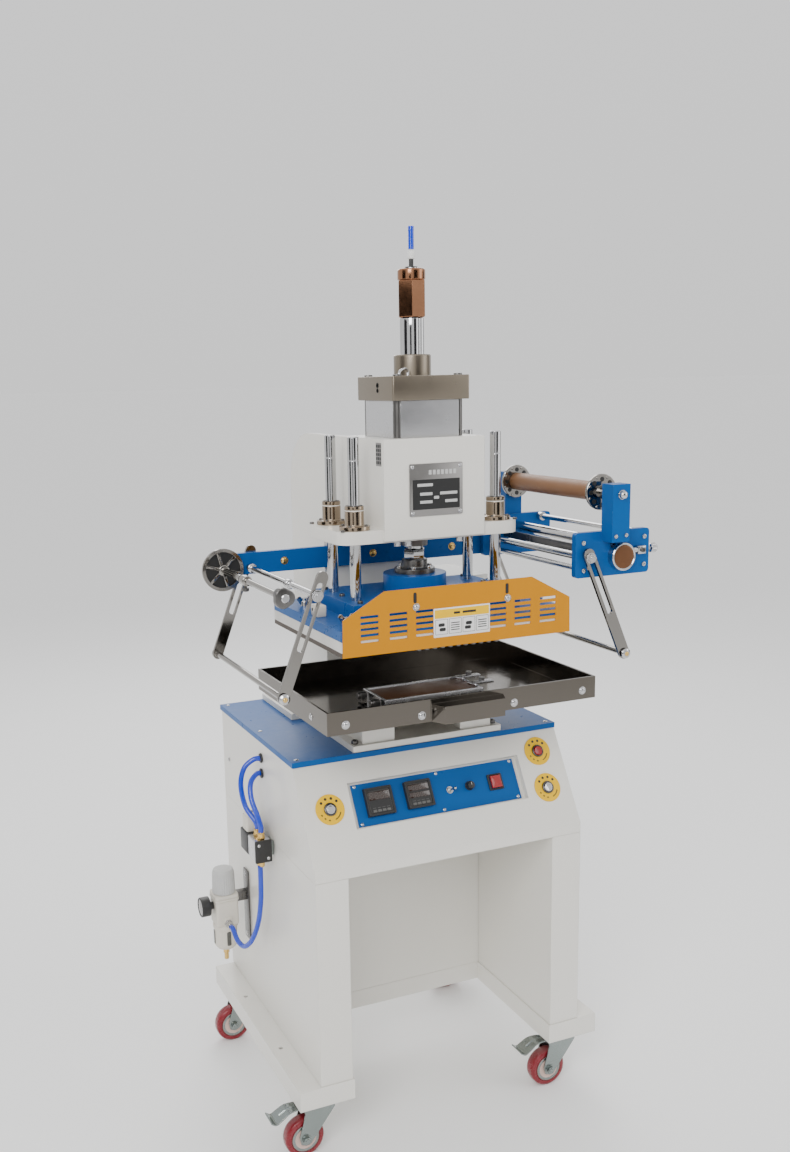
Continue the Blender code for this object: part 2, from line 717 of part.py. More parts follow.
def make_left_unit():
    bar = box("back_bar", (-0.330, BAR_FRONT, BAR_BOTTOM), (0.402, BAR_BACK, BAR_TOP), BLUE)
    cut(bar, along_y("hole", RIGHT_PIVOT, BAR_FRONT - 0.01, BAR_BACK + 0.01, 0.0053))
    combine(bar, [along_y("guide_rod", LEFT_PIVOT, -0.024, 0.352, 0.0050)])
    swing_frame(
        "left_swing_frame", LEFT_PIVOT, (-0.2482, 1.0700), (-0.3220, 0.8760),
        -0.018, 0.3425, 0.0100, ((-0.2530, 1.0560), (-0.2908, 0.9560)),
    )
    shaft = turned(
        "left_unwind_shaft",
        (UNWIND[0], -0.010, UNWIND[1]),
        (0, 1, 0),
        [(0, 0.0178), (0.016, 0.0178), (0.016, 0.0055), (0.196, 0.0055), (0.196, 0.0085), (0.214, 0.0085),
         (0.214, 0.0060), (0.332, 0.0060), (0.332, 0.0400), (0.3375, 0.0400), (0.3375, 0.0060),
         (0.3397, 0.0060)],
        CHROME,
    )
    pivot(shaft, (UNWIND[0], 0, UNWIND[1]))


def make_right_unit():
    plate_low, plate_high = (0.2425, 1.0235), (0.4020, 1.1053)
    upright_low, upright_high = 0.2980, 0.3350
    feed_place, upper_bar, lower_bar = (0.3215, 1.0800), (0.3770, 1.0970), (0.2680, 1.0360)
    for name, y, y_upright in (("right_front_plate", -0.010, -0.041), ("right_rear_plate", 0.3177, 0.322)):
        plate = prism(name, rounded(plate_low, plate_high, 0.006, 3), 1, y, y + 0.012, BLUE)
        upright = box(
            "upright", (upright_low, y_upright, 1.088), (upright_high, y_upright + 0.033, 1.191), BLUE
        )
        combine(plate, [upright])
        cut(
            plate,
            along_y("hole", SPOOL, y - 0.06, y + 0.06, 0.0064),
            along_y("hole", feed_place, y - 0.06, y + 0.06, 0.0054),
        )
        if y > 0:
            inner_end = 0.002 + GAP
            bars = [
                along_y("bar", upper_bar, inner_end, y + 0.001, 0.0050),
                along_y("bar", lower_bar, inner_end, y + 0.001, 0.0050),
                box("bar", (0.2910, inner_end, 1.0460), (0.2950, y + 0.001, 1.0740), BLUE),
                along_y("bar", RIGHT_PIVOT, inner_end, 0.354, 0.0050),
            ]
            combine(plate, bars)
        else:
            disc = along_y("disc", (0.3365, 1.0581), -0.025, y + 0.001, 0.0227, BRONZE, SIDES)
            combine(plate, [disc, along_y("bar", RIGHT_PIVOT, -0.028, y + 0.001, 0.0050)])
    roller = turned(
        "feed_roller",
        (feed_place[0], -0.0085, feed_place[1]),
        (0, 1, 0),
        [(0, 0.0050), (0.014, 0.0050), (0.014, 0.0110), (0.3250, 0.0110), (0.3250, 0.0050), (0.3400, 0.0050)],
        CHROME,
        24,
    )
    pivot(roller, (feed_place[0], 0, feed_place[1]))
    swing_frame(
        "right_swing_frame", RIGHT_PIVOT, (0.2640, 1.0670), (0.3447, 0.8780),
        -0.022, 0.3430, 0.0110, ((0.2666, 1.0610), (0.3103, 0.9600)),
    )
    spool = turned(
        "foil_spool",
        (SPOOL[0], -0.049, SPOOL[1]),
        (0, 1, 0),
        [(0, 0.0058), (0.050, 0.0058), (0.050, 0.0120), (0.068, 0.0120), (0.068, 0.0330), (0.074, 0.0330),
         (0.074, 0.0170), (0.360, 0.0170), (0.360, 0.0330), (0.366, 0.0330), (0.366, 0.0120),
         (0.3705, 0.0120),
         (0.3705, 0.0058), (0.409, 0.0058)],
        CARD,
    )
    pivot(spool, (SPOOL[0], 0, SPOOL[1]))
    knob_x = plate_high[0] + GAP
    knob = turned(
        "tension_knob", (knob_x, -0.004, 1.0662), (1, 0, 0),
        [(0, 0.0035), (0.006, 0.0035), (0.006, 0.0085), (0.018, 0.0085), (0.020, 0.0070)], CHROME, 24,
    )
    pivot(knob, (knob_x, -0.004, 1.0662))


# ---------------------------------------------------------------- air supply
REGULATOR = (-0.322, 0.378)
VALVE_X = -0.295


def make_air_unit():
    x, y = REGULATOR
    body = box("filter_regulator", (x - 0.024, y - 0.024, 0.310), (x + 0.024, y + 0.024, 0.3765), IVORY)
    bowl = turned(
        "bowl", (x, y, 0.230), (0, 0, 1),
        [(0, 0.0045), (0.017, 0.0045), (0.017, 0.0180), (0.028, 0.0235), (0.082, 0.0235)], IVORY,
    )
    bracket = box("bracket", (x + 0.020, y - 0.004, 0.350), (-0.272, y + 0.012, 0.372))
    wall_plate = box("wall_plate", (-0.2740, y - 0.010, 0.262), (-HALF_WIDTH - GAP, y + 0.020, 0.415))
    elbow = rod("elbow", (x, y - 0.023, 0.318), (x, y - 0.042, 0.318), 0.0068)
    gauge_stem = rod("gauge", (x - 0.023, y, 0.352), (x - 0.051, y, 0.352), 0.0195, sides=SIDES)
    combine(body, [bowl, bracket, wall_plate, elbow, gauge_stem])
    cap = turned(
        "regulator_knob", (x, y, 0.3768), (0, 0, 1), [(0, 0.0230), (0.040, 0.0220), (0.050, 0.0190)], GREY
    )
    pivot(cap, (x, y, 0.3768))

    valve = box("solenoid_valve", (VALVE_X - 0.016, 0.197, 0.505), (VALVE_X + 0.016, 0.240, 0.547), BLACK)
    coil = box("coil", (VALVE_X - 0.015, 0.239, 0.502), (VALVE_X + 0.015, 0.288, 0.545))
    plug = box("plug", (VALVE_X - 0.013, 0.250, 0.544), (VALVE_X + 0.013, 0.280, 0.585))
    seat = box("seat", (VALVE_X + 0.014, 0.205, 0.512), (-HALF_WIDTH - GAP, 0.232, 0.540))
    ports = [
        rod("port", (VALVE_X, port_y, 0.546), (VALVE_X, port_y, 0.558), 0.0066) for port_y in (0.2080, 0.2290)
    ]
    ports.append(rod("port", (VALVE_X, 0.2200, 0.506), (VALVE_X, 0.2200, 0.490), 0.0066))
    combine(valve, [coil, plug, seat, *ports])

    hose("valve_hose_rear", VALVE_HOSE_REAR, HOSE_RADIUS, HOSE)
    hose("valve_hose_front", VALVE_HOSE_FRONT, HOSE_RADIUS, HOSE)
    hose("supply_hose", SUPPLY_HOSE, HOSE_RADIUS, HOSE)


HOSE_RADIUS = 0.0050
VALVE_HOSE_REAR = [
    (-0.2710, 0.2620, 0.6850),
    (-0.2860, 0.2650, 0.6830),
    (-0.3040, 0.2670, 0.6680),
    (-0.3130, 0.2630, 0.6380),
    (-0.3100, 0.2500, 0.6000),
    (-0.2980, 0.2320, 0.5750),
    (-0.2950, 0.2290, 0.5650),
    (-0.2950, 0.2290, 0.5588),
]
VALVE_HOSE_FRONT = [
    (-0.2710, 0.2620, 0.6550),
    (-0.2830, 0.2580, 0.6560),
    (-0.2990, 0.2450, 0.6450),
    (-0.3040, 0.2300, 0.6200),
    (-0.2980, 0.2130, 0.5880),
    (-0.2950, 0.2080, 0.5700),
    (-0.2950, 0.2080, 0.5588),
]
SUPPLY_HOSE = [
    (-0.3220, 0.3352, 0.3180),
    (-0.3220, 0.3240, 0.3178),
    (-0.3210, 0.2980, 0.3050),
    (-0.3160, 0.2720, 0.3050),
    (-0.3080, 0.2480, 0.3280),
    (-0.3000, 0.2300, 0.3700),
    (-0.2960, 0.2210, 0.4200),
    (-0.2950, 0.2200, 0.4700),
    (-0.2950, 0.2200, 0.4892),
]
POWER_CABLE = [
    (0.1560, 0.3310, 0.8420),
    (0.1500, 0.3310, 0.8420),
    (0.1320, 0.3290, 0.8380),
    (0.1130, 0.3270, 0.8220),
    (0.0880, 0.3255, 0.8050),
    (0.0620, 0.3255, 0.7880),
    (0.0450, 0.3270, 0.7740),
    (0.0370, 0.3310, 0.7660),
    (0.0360, 0.3355, 0.7640),
    (0.0360, 0.3408, 0.7640),
]


def stand_on_origin():
    """Moves every piece so that the middle of the machine's bounding box, at floor level, is the origin."""
    bpy.context.view_layer.update()
    graph = bpy.context.evaluated_depsgraph_get()
    low, high = np.full(3, np.inf), np.full(3, -np.inf)
    for obj in bpy.data.objects:
        seen = obj.evaluated_get(graph)
        mesh = seen.to_mesh()
        points = np.array([seen.matrix_world @ vertex.co for vertex in mesh.vertices])
        low, high = np.minimum(low, points.min(axis=0)), np.maximum(high, points.max(axis=0))
        seen.to_mesh_clear()
    middle = (low + high) / 2
    for obj in bpy.data.objects:
        obj.location -= Vector((middle[0], middle[1], 0))
    print("origin moved by", round(float(middle[0]), 6), round(float(middle[1]), 6))


make_cabinet()
make_legs()
make_base_frame()
make_rear_wall()
make_castor("left_front", -CASTOR_X, CASTOR_FRONT_Y, True)
make_castor("right_front", CASTOR_X, CASTOR_FRONT_Y, True)
make_castor("left_rear", -CASTOR_X, CASTOR_REAR_Y, False)
make_castor("right_rear", CASTOR_X, CASTOR_REAR_Y, False)
make_controls()
make_frame()
make_head()
make_cylinder()
make_platen()
make_tray()
make_left_unit()
make_right_unit()
make_air_unit()
hose("power_cable", POWER_CABLE, 0.0045, RUBBER)
stand_on_origin()
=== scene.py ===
# %% [markdown]
# # A pneumatic hot foil stamper
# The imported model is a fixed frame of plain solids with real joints. This lesson dresses it: each plain
# solid either keeps its shape and gets a worked finish, or is replaced by a finer piece in the same place.
# The machine's own axes are easier to think in than the frame's, so every length below is measured from
# the middle of the cabinet's front edge at floor level: x to the right, y to the back, z up, in metres.

import bmesh
import bpy
import numpy as np
from mathutils import Matrix, Vector


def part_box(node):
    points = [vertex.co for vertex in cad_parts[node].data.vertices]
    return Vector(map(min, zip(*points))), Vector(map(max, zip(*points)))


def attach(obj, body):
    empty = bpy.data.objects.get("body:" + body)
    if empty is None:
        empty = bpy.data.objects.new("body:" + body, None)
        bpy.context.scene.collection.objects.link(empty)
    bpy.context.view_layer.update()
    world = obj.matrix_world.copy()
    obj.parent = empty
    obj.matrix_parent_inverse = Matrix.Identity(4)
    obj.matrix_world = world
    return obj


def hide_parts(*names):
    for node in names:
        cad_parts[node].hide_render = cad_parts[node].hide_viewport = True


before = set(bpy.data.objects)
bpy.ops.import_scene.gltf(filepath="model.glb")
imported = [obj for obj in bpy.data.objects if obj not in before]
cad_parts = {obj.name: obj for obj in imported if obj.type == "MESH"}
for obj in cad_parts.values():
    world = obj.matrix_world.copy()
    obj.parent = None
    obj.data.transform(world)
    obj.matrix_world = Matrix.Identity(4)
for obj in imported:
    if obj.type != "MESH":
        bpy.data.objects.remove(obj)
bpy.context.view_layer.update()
cabinet_low, cabinet_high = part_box("cabinet_housing")
ORIGIN = np.array([(cabinet_low.x + cabinet_high.x) / 2, cabinet_low.y, 0.0])
print("machine origin in the frame:", ORIGIN.round(4), "with", len(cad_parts), "solids")

# %% [markdown]
# ## Camera
# The camera stands a little left of the machine and above it, looking slightly down, and it is turned
# by just over a degree. A long lens keeps the uprights almost parallel. The direction it looks from is
# worked out from three angles, and the three axes of a camera go into its matrix as columns.

# %% Place the camera
camera_turn, camera_tilt, camera_roll = np.radians([-22.81, 11.19, -1.36])
level_share = np.cos(camera_tilt)
back = np.array(
    [np.sin(camera_turn) * level_share, -np.cos(camera_turn) * level_share, np.sin(camera_tilt)]
)
sideways = np.array([np.cos(camera_turn), np.sin(camera_turn), 0])
upright = np.cross(back, sideways)
camera_right = sideways * np.cos(camera_roll) + upright * np.sin(camera_roll)
camera_up = upright * np.cos(camera_roll) - sideways * np.sin(camera_roll)
camera_place = np.array([-0.9391, -1.7341, 1.3807]) + ORIGIN

camera = bpy.data.objects.new("camera", bpy.data.cameras.new("camera"))
bpy.context.scene.collection.objects.link(camera)
matrix = np.eye(4)
matrix[:3, :3] = np.stack([camera_right, camera_up, back], axis=1)
matrix[:3, 3] = camera_place
camera.matrix_world = Matrix(matrix.tolist())
camera.data.lens = 36.23
camera.data.shift_x = 0.0468
camera.data.shift_y = 0.0301
bpy.context.scene.camera = camera
print("camera at", camera_place.round(3))

# %% [markdown]
# ## Floor and light
# Chrome and enamel only look real when they have something to mirror, so the light is three large soft
# panels in a pale room. Black flags stand round it, and only reflections show them, as dark streaks.


# %% Make the floor, the soft panels and the sky
def link(obj):
    bpy.context.scene.collection.objects.link(obj)
    return obj


floor_mesh = bpy.data.meshes.new("floor")
FLOOR_REACH = 400.0
corners = [(x * FLOOR_REACH, y * FLOOR_REACH, 0) for x, y in ((-1, -1), (1, -1), (1, 1), (-1, 1))]
floor_mesh.from_pydata(corners, [], [(0, 1, 2, 3)])
floor_paint = bpy.data.materials.new("studio_floor")
floor_paint.use_nodes = True
floor_shader = floor_paint.node_tree.nodes["Principled BSDF"]
floor_shader.inputs["Base Color"].default_value = (0.93, 0.93, 0.925, 1)
floor_shader.inputs["Roughness"].default_value = 0.8
floor_mesh.materials.append(floor_paint)
link(bpy.data.objects.new("floor", floor_mesh))

SOFT_PANELS = {
    "key_panel": ((-2.2, -2.6, 2.9), 1.6, 95), "fill_panel": ((2.8, -1.6, 1.9), 1.8, 26),
    "rim_panel": ((0.8, 2.6, 3.0), 2.0, 60)
}
for name, (place, width, power) in SOFT_PANELS.items():
    panel = bpy.data.lights.new(name, "AREA")
    panel.shape = "RECTANGLE"
    panel.size = width
    panel.size_y = width * 1.3
    panel.energy = power
    lamp = link(bpy.data.objects.new(name, panel))
    aim = Vector((0, 0.2, 0.9)) - Vector(place)
    lamp.matrix_world = Matrix.Translation(place) @ aim.to_track_quat("-Z", "Y").to_matrix().to_4x4()

sky = bpy.data.worlds.new("studio")
bpy.context.scene.world = sky
sky.use_nodes = True
sky_nodes, sky_links = sky.node_tree.nodes, sky.node_tree.links
direction = sky_nodes.new("ShaderNodeTexCoord")
split = sky_nodes.new("ShaderNodeSeparateXYZ")
ramp = sky_nodes.new("ShaderNodeValToRGB")
sky_links.new(direction.outputs["Generated"], split.inputs[0])
sky_links.new(split.outputs["Z"], ramp.inputs[0])
sky_links.new(ramp.outputs[0], sky_nodes["Background"].inputs["Color"])
ramp.color_ramp.elements[0].color = (0.79, 0.79, 0.79, 1)
ramp.color_ramp.elements[1].color = (0.86, 0.86, 0.865, 1)
ramp.color_ramp.elements[1].position = 0.5
sky_nodes["Background"].inputs["Strength"].default_value = 1.25

FLAG_FELT = bpy.data.materials.new("black_flag")
FLAG_FELT.use_nodes = True
FLAG_FELT.node_tree.nodes["Principled BSDF"].inputs["Base Color"].default_value = (0.012, 0.012, 0.013, 1)
FLAG_FELT.node_tree.nodes["Principled BSDF"].inputs["Roughness"].default_value = 0.9
FLAGS = {
    "front_flag": ((-0.6, -5.2), (2.6, -5.2), 0.55, 2.7),
    "left_flag": ((-4.6, -1.4), (-4.6, 1.2), 0.5, 2.4), "right_flag": ((4.4, -2.4), (4.4, 0.4), 0.4, 2.2),
    "near_flag": ((-4.4, -4.4), (-3.0, -5.2), 0.2, 2.6)
}
for name, (start, end, low, high) in FLAGS.items():
    flag_mesh = bpy.data.meshes.new(name)
    corners = [(*start, low), (*end, low), (*end, high), (*start, high)]
    flag_mesh.from_pydata(corners, [], [(0, 1, 2, 3)])
    flag_mesh.materials.append(FLAG_FELT)
    flag = link(bpy.data.objects.new(name, flag_mesh))
    flag.visible_camera = False
print("floor, three soft panels, four flags and a graded sky")

# %% [markdown]
# ## One shared finish
# Nearly every real surface has the same few things going on: its colour drifts a little from place to
# place, it has a fine grain that catches the light, its corners are rounded and slightly rubbed, and dust
# settles where it faces up. One node group makes all of these, and each material sets its own amounts.
# The rounded corner comes from a Bevel node, which bends the normal near an edge. Where that normal
# leaves the true one there is an edge, so the same node also tells where paint would be rubbed.


# %% Build the shared finish as a node group
class Nodes:
    """Short ways to add nodes to one tree and join them."""

    def __init__(self, tree):
        self.tree = tree

    def add(self, kind, settings=None, **inputs):
        node = self.tree.nodes.new("ShaderNode" + kind)
        for key, value in (settings or {}).items():
            setattr(node, key, value)
        for key, value in inputs.items():
            self.join(value, node.inputs[int(key[1:]) if key[1:].isdigit() else key.replace("_", " ")])
        return node

    def join(self, value, socket):
        if isinstance(value, bpy.types.NodeSocket):
            self.tree.links.new(value, socket)
        else:
            socket.default_value = value

    def math(self, operation, a, b=0.0, clamp=False):
        node = self.add("Math", {"operation": operation, "use_clamp": clamp}, i0=a, i1=b)
        return node.outputs[0]

    def mix(self, factor, a, b, blend="MIX"):
        node = self.add("Mix", {"data_type": "RGBA", "blend_type": blend}, i0=factor, i6=a, i7=b)
        return node.outputs[2]

    def noise(self, place, scale, detail=3.0, rough=0.55):
        return self.add(
            "TexNoise", None, Vector=place, Scale=scale, Detail=detail, Roughness=rough
        ).outputs["Fac"]

    def ramp(self, value, low, high):
        node = self.add(
            "MapRange", {"interpolation_type": "SMOOTHSTEP"}, Value=value, From_Min=low, From_Max=high
        )
        return node.outputs[0]


def worked_finish_group():
    """Colour drift, grain, rounded and rubbed corners, and dust, as colour, roughness and normal."""
    group = bpy.data.node_groups.new("worked_finish", "ShaderNodeTree")
    inputs = {
        "Colour": ("NodeSocketColor", (0.8, 0.8, 0.8, 1)),
        "Rubbed Colour": ("NodeSocketColor", (0.5, 0.5, 0.5, 1)), "Drift Scale": ("NodeSocketFloat", 6.0),
        "Drift": ("NodeSocketFloat", 0.08), "Grain Stretch": ("NodeSocketVector", (1, 1, 1)),
        "Grain Scale": ("NodeSocketFloat", 800.0), "Grain Height": ("NodeSocketFloat", 0.00002),
        "Gloss Break": ("NodeSocketFloat", 0.1), "Roughness": ("NodeSocketFloat", 0.4),
        "Corner": ("NodeSocketFloat", 0.0012), "Rubbing": ("NodeSocketFloat", 0.3),
        "Dust": ("NodeSocketFloat", 0.1)
    }
    for name, (kind, value) in inputs.items():
        group.interface.new_socket(name, in_out="INPUT", socket_type=kind).default_value = value
    for name, kind in (
        ("Colour", "NodeSocketColor"), ("Roughness", "NodeSocketFloat"), ("Normal", "NodeSocketVector")
    ):
        group.interface.new_socket(name, in_out="OUTPUT", socket_type=kind)
    n = Nodes(group)
    given = group.nodes.new("NodeGroupInput").outputs
    result = group.nodes.new("NodeGroupOutput").inputs
    place = n.add("TexCoord").outputs["Object"]
    stretched = n.add(
        "VectorMath", {"operation": "MULTIPLY"}, i0=place, i1=given["Grain Stretch"]
    ).outputs[0]
    grain = n.noise(stretched, given["Grain Scale"], 2.0)
    drift = n.math("SUBTRACT", n.noise(place, given["Drift Scale"], 5.0, 0.6), 0.5)
    blotch = n.math("SUBTRACT", n.noise(place, 55.0, 4.0, 0.65), 0.5)
    tone = n.math("ADD", drift, n.math("MULTIPLY", blotch, 0.35))
    bright = n.math("MULTIPLY_ADD", tone, given["Drift"])
    group.nodes[-1].inputs[2].default_value = 1.0
    drifted = n.mix(
        1.0, given["Colour"],
        n.add("CombineColor", None, Red=bright, Green=bright, Blue=bright).outputs[0], "MULTIPLY"
    )
    soft = n.add("Bevel", {"samples": 4}, Radius=given["Corner"]).outputs[0]
    geometry = n.add("NewGeometry").outputs
    meeting = n.add(
        "VectorMath", {"operation": "DOT_PRODUCT"}, i0=soft, i1=geometry["Normal"]
    ).outputs["Value"]
    edge = n.ramp(n.math("SUBTRACT", 1.0, meeting), 0.02, 0.25)
    chips = n.ramp(n.noise(place, 140.0, 4.0, 0.7), 0.50, 0.62)
    rubbed = n.math("MULTIPLY", n.math("MULTIPLY", edge, chips), given["Rubbing"], True)
    worn = n.mix(rubbed, drifted, given["Rubbed Colour"])
    facing_up = n.ramp(n.add("SeparateXYZ", None, i0=geometry["Normal"]).outputs["Z"], 0.5, 1.0)
    settled = n.math("MULTIPLY", facing_up, n.ramp(n.noise(place, 24.0, 5.0, 0.65), 0.35, 0.75))
    dust = n.math("MULTIPLY", settled, given["Dust"], True)
    n.join(n.mix(dust, worn, (0.52, 0.50, 0.46, 1)), result["Colour"])
    uneven = n.math("MULTIPLY", n.math("ADD", blotch, drift), given["Gloss Break"])
    rough = n.math("ADD", given["Roughness"], uneven)
    n.join(n.math("ADD", rough, n.math("MULTIPLY", dust, 0.35), True), result["Roughness"])
    bump = n.add("Bump", None, Strength=1.0, Distance=given["Grain Height"], Height=grain, Normal=soft)
    n.join(bump.outputs[0], result["Normal"])
    return group


WORKED_FINISH = worked_finish_group()


def finish(name, colour, roughness=0.4, metallic=0.0, coat=0.0, sockets=None, **amounts):
    """A Principled material driven by the shared finish. Constants go on the shader's own sockets."""
    material = bpy.data.materials.new(name)
    material.use_nodes = True
    shader = material.node_tree.nodes["Principled BSDF"]
    shader.inputs["Metallic"].default_value = metallic
    shader.inputs["Coat Weight"].default_value = coat
    shader.inputs["Coat Roughness"].default_value = 0.08
    for key, value in (sockets or {}).items():
        shader.inputs[key].default_value = value
    n = Nodes(material.node_tree)
    worked = material.node_tree.nodes.new("ShaderNodeGroup")
    worked.name = "worked"
    worked.node_tree = WORKED_FINISH
    worked.inputs["Colour"].default_value = (*colour, 1)
    worked.inputs["Roughness"].default_value = roughness
    for key, value in amounts.items():
        socket = worked.inputs[key.replace("_", " ").title()]
        socket.default_value = (*value, 1) if "Colour" in socket.name else value
    n.join(worked.outputs["Colour"], shader.inputs["Base Color"])
    n.join(worked.outputs["Roughness"], shader.inputs["Roughness"])
    n.join(worked.outputs["Normal"], shader.inputs["Normal"])
    return material


print("shared finish with", len(WORKED_FINISH.nodes), "nodes")

# %% [markdown]
# ## Paints and enamels
# The cabinet and press frame are powder coated: the powder melts into a skin with a faint orange peel, so
# its grain is a few millimetres across and only hundredths of a millimetre deep. The blue plates are
# sprayed enamel with more gloss. The guard's orange shows bare steel where hands and screws rub it.

# %% Mix the paints
# Strong colours keep their depth only if little of the pale room is mirrored over them.
LOW_SHEEN = {"Specular IOR Level": 0.18}
IVORY = finish(
    "ivory_powder_coat", (0.76, 0.74, 0.685), 0.33, coat=0.15, drift=0.06, drift_scale=3.0,
    grain_scale=420.0, grain_height=0.00006, gloss_break=0.12, corner=0.0016, rubbing=0.25,
    rubbed_colour=(0.50, 0.48, 0.44), dust=0.10
)
BLUE = finish(
    "blue_enamel", (0.0, 0.082, 0.30), 0.30, sockets=LOW_SHEEN, drift=0.10, drift_scale=5.0,
    grain_scale=300.0, grain_height=0.00003, gloss_break=0.14, corner=0.0010, rubbing=0.45,
    rubbed_colour=(0.22, 0.36, 0.58), dust=0.04
)
ORANGE = finish(
    "orange_guard_paint", (0.54, 0.215, 0.0), 0.36, sockets=LOW_SHEEN, drift=0.10, drift_scale=7.0,
    grain_scale=380.0, grain_height=0.00005, gloss_break=0.14, corner=0.0008, rubbing=0.8,
    rubbed_colour=(0.45, 0.32, 0.20), dust=0.06
)
BOARD = finish(
    "insulation_board", (0.70, 0.69, 0.66), 0.75, drift=0.20, drift_scale=30.0, grain_stretch=(1, 1, 14),
    grain_scale=160.0, grain_height=0.00030, corner=0.0008, rubbing=0.4, rubbed_colour=(0.42, 0.38, 0.33),
    dust=0.05
)
LEGEND_YELLOW = finish(
    "yellow_legend_plate", (0.84, 0.50, 0.0), 0.38, sockets=LOW_SHEEN, drift=0.08, drift_scale=40.0,
    grain_scale=900.0, grain_height=0.00002, corner=0.0004, rubbing=0.4, rubbed_colour=(0.5, 0.42, 0.2),
    dust=0.05
)
print("four paints and the insulation board")

# %% [markdown]
# ## Metals
# A metal's colour is its reflection, so what tells chrome from ground iron is the grain. Drawn and turned
# bars have scratches that run around or along them: stretching the noise along one axis makes those.
# The heated platen is browned by years of heat, and zinc plating has a faint yellow and blue tint.

# %% Work the metals
CHROME = finish(
    "polished_chrome", (0.55, 0.55, 0.555), 0.08, 1.0, drift=0.10, drift_scale=14.0,
    grain_stretch=(1, 1, 0.05), grain_scale=1500.0, grain_height=0.000004, gloss_break=0.10,
    corner=0.0006, rubbing=0.2, rubbed_colour=(0.45, 0.43, 0.40), dust=0.05
)
STAINLESS = finish(
    "stainless_sheet", (0.145, 0.130, 0.112), 0.12, 1.0, drift=0.12, drift_scale=8.0,
    grain_stretch=(0.03, 1, 1), grain_scale=1400.0, grain_height=0.000010, gloss_break=0.16,
    corner=0.0008, rubbing=0.3, rubbed_colour=(0.75, 0.74, 0.72), dust=0.05
)
ALUMINIUM = finish(
    "drawn_aluminium", (0.62, 0.62, 0.635), 0.26, 1.0, drift=0.06, drift_scale=9.0,
    grain_stretch=(1, 1, 0.03), grain_scale=1100.0, grain_height=0.000020, gloss_break=0.14,
    corner=0.0006, rubbing=0.2, dust=0.04
)
CHAMPAGNE = finish(
    "champagne_anodised", (0.24, 0.205, 0.160), 0.30, 0.92, drift=0.08, drift_scale=10.0,
    grain_stretch=(1, 1, 0.2), grain_scale=700.0, grain_height=0.000020, gloss_break=0.12, corner=0.0009,
    rubbing=0.6, rubbed_colour=(0.72, 0.70, 0.66), dust=0.08
)
COPPER = finish(
    "copper_alloy", (0.34, 0.165, 0.090), 0.16, 1.0, drift=0.20, drift_scale=20.0,
    grain_stretch=(1, 1, 12), grain_scale=260.0, grain_height=0.000020, gloss_break=0.20, corner=0.0009,
    rubbing=0.6, rubbed_colour=(0.80, 0.52, 0.34), dust=0.04
)
BRASS = finish(
    "brass_fitting", (0.72, 0.48, 0.16), 0.25, 1.0, drift=0.15, drift_scale=60.0, grain_scale=900.0,
    grain_height=0.000015, gloss_break=0.15, corner=0.0004, rubbing=0.4, rubbed_colour=(0.85, 0.66, 0.34),
    dust=0.04
)
ZINC = finish(
    "zinc_plated_steel", (0.27, 0.305, 0.295), 0.22, 0.95, drift=0.16, drift_scale=26.0,
    grain_scale=420.0, grain_height=0.000030, gloss_break=0.25, corner=0.0009, rubbing=0.5,
    rubbed_colour=(0.45, 0.36, 0.20), dust=0.10
)
STEEL = finish(
    "oiled_dark_steel", (0.15, 0.145, 0.14), 0.30, 0.95, drift=0.15, drift_scale=25.0, grain_scale=600.0,
    grain_height=0.00002, gloss_break=0.18, corner=0.0006, rubbing=0.5, rubbed_colour=(0.60, 0.60, 0.60),
    dust=0.06
)
IRON = finish(
    "heated_iron", (0.105, 0.085, 0.07), 0.46, 0.85, drift=0.35, drift_scale=16.0,
    grain_stretch=(0.1, 1, 1), grain_scale=500.0, grain_height=0.000030, gloss_break=0.20, corner=0.0010,
    rubbing=0.5, rubbed_colour=(0.34, 0.30, 0.27), dust=0.03
)
BROWN = finish(
    "heat_browned_plate", (0.14, 0.058, 0.022), 0.34, 0.55, drift=0.35, drift_scale=22.0,
    grain_stretch=(0.1, 1, 1), grain_scale=600.0, grain_height=0.000020, gloss_break=0.25, corner=0.0008,
    rubbing=0.5, rubbed_colour=(0.45, 0.32, 0.20), dust=0.05
)
BUSHING = finish(
    "browned_bushing_steel", (0.34, 0.27, 0.20), 0.14, 1.0, drift=0.14, drift_scale=24.0,
    grain_stretch=(1, 1, 0.2), grain_scale=900.0, grain_height=0.000010, gloss_break=0.14, corner=0.0006,
    rubbing=0.4, rubbed_colour=(0.60, 0.54, 0.46), dust=0.04
)
NICKEL = finish(
    "bright_nickel", (0.30, 0.285, 0.265), 0.10, 1.0, drift=0.12, drift_scale=14.0,
    grain_stretch=(1, 1, 0.05), grain_scale=1300.0, grain_height=0.000005, gloss_break=0.12,
    corner=0.0007, rubbing=0.5, rubbed_colour=(0.70, 0.68, 0.64), dust=0.05
)
print("twelve metals")

# %% [markdown]
# ## Plastics, rubber and card
# Moulded plastic has a fine spark-eroded texture and no metal in its shine. The wheel treads are cast
# polyurethane, which is slightly translucent, so a little light scatters under the surface. The hoses are
# clear blue all the way through and get the same treatment. The foil core is wound card.

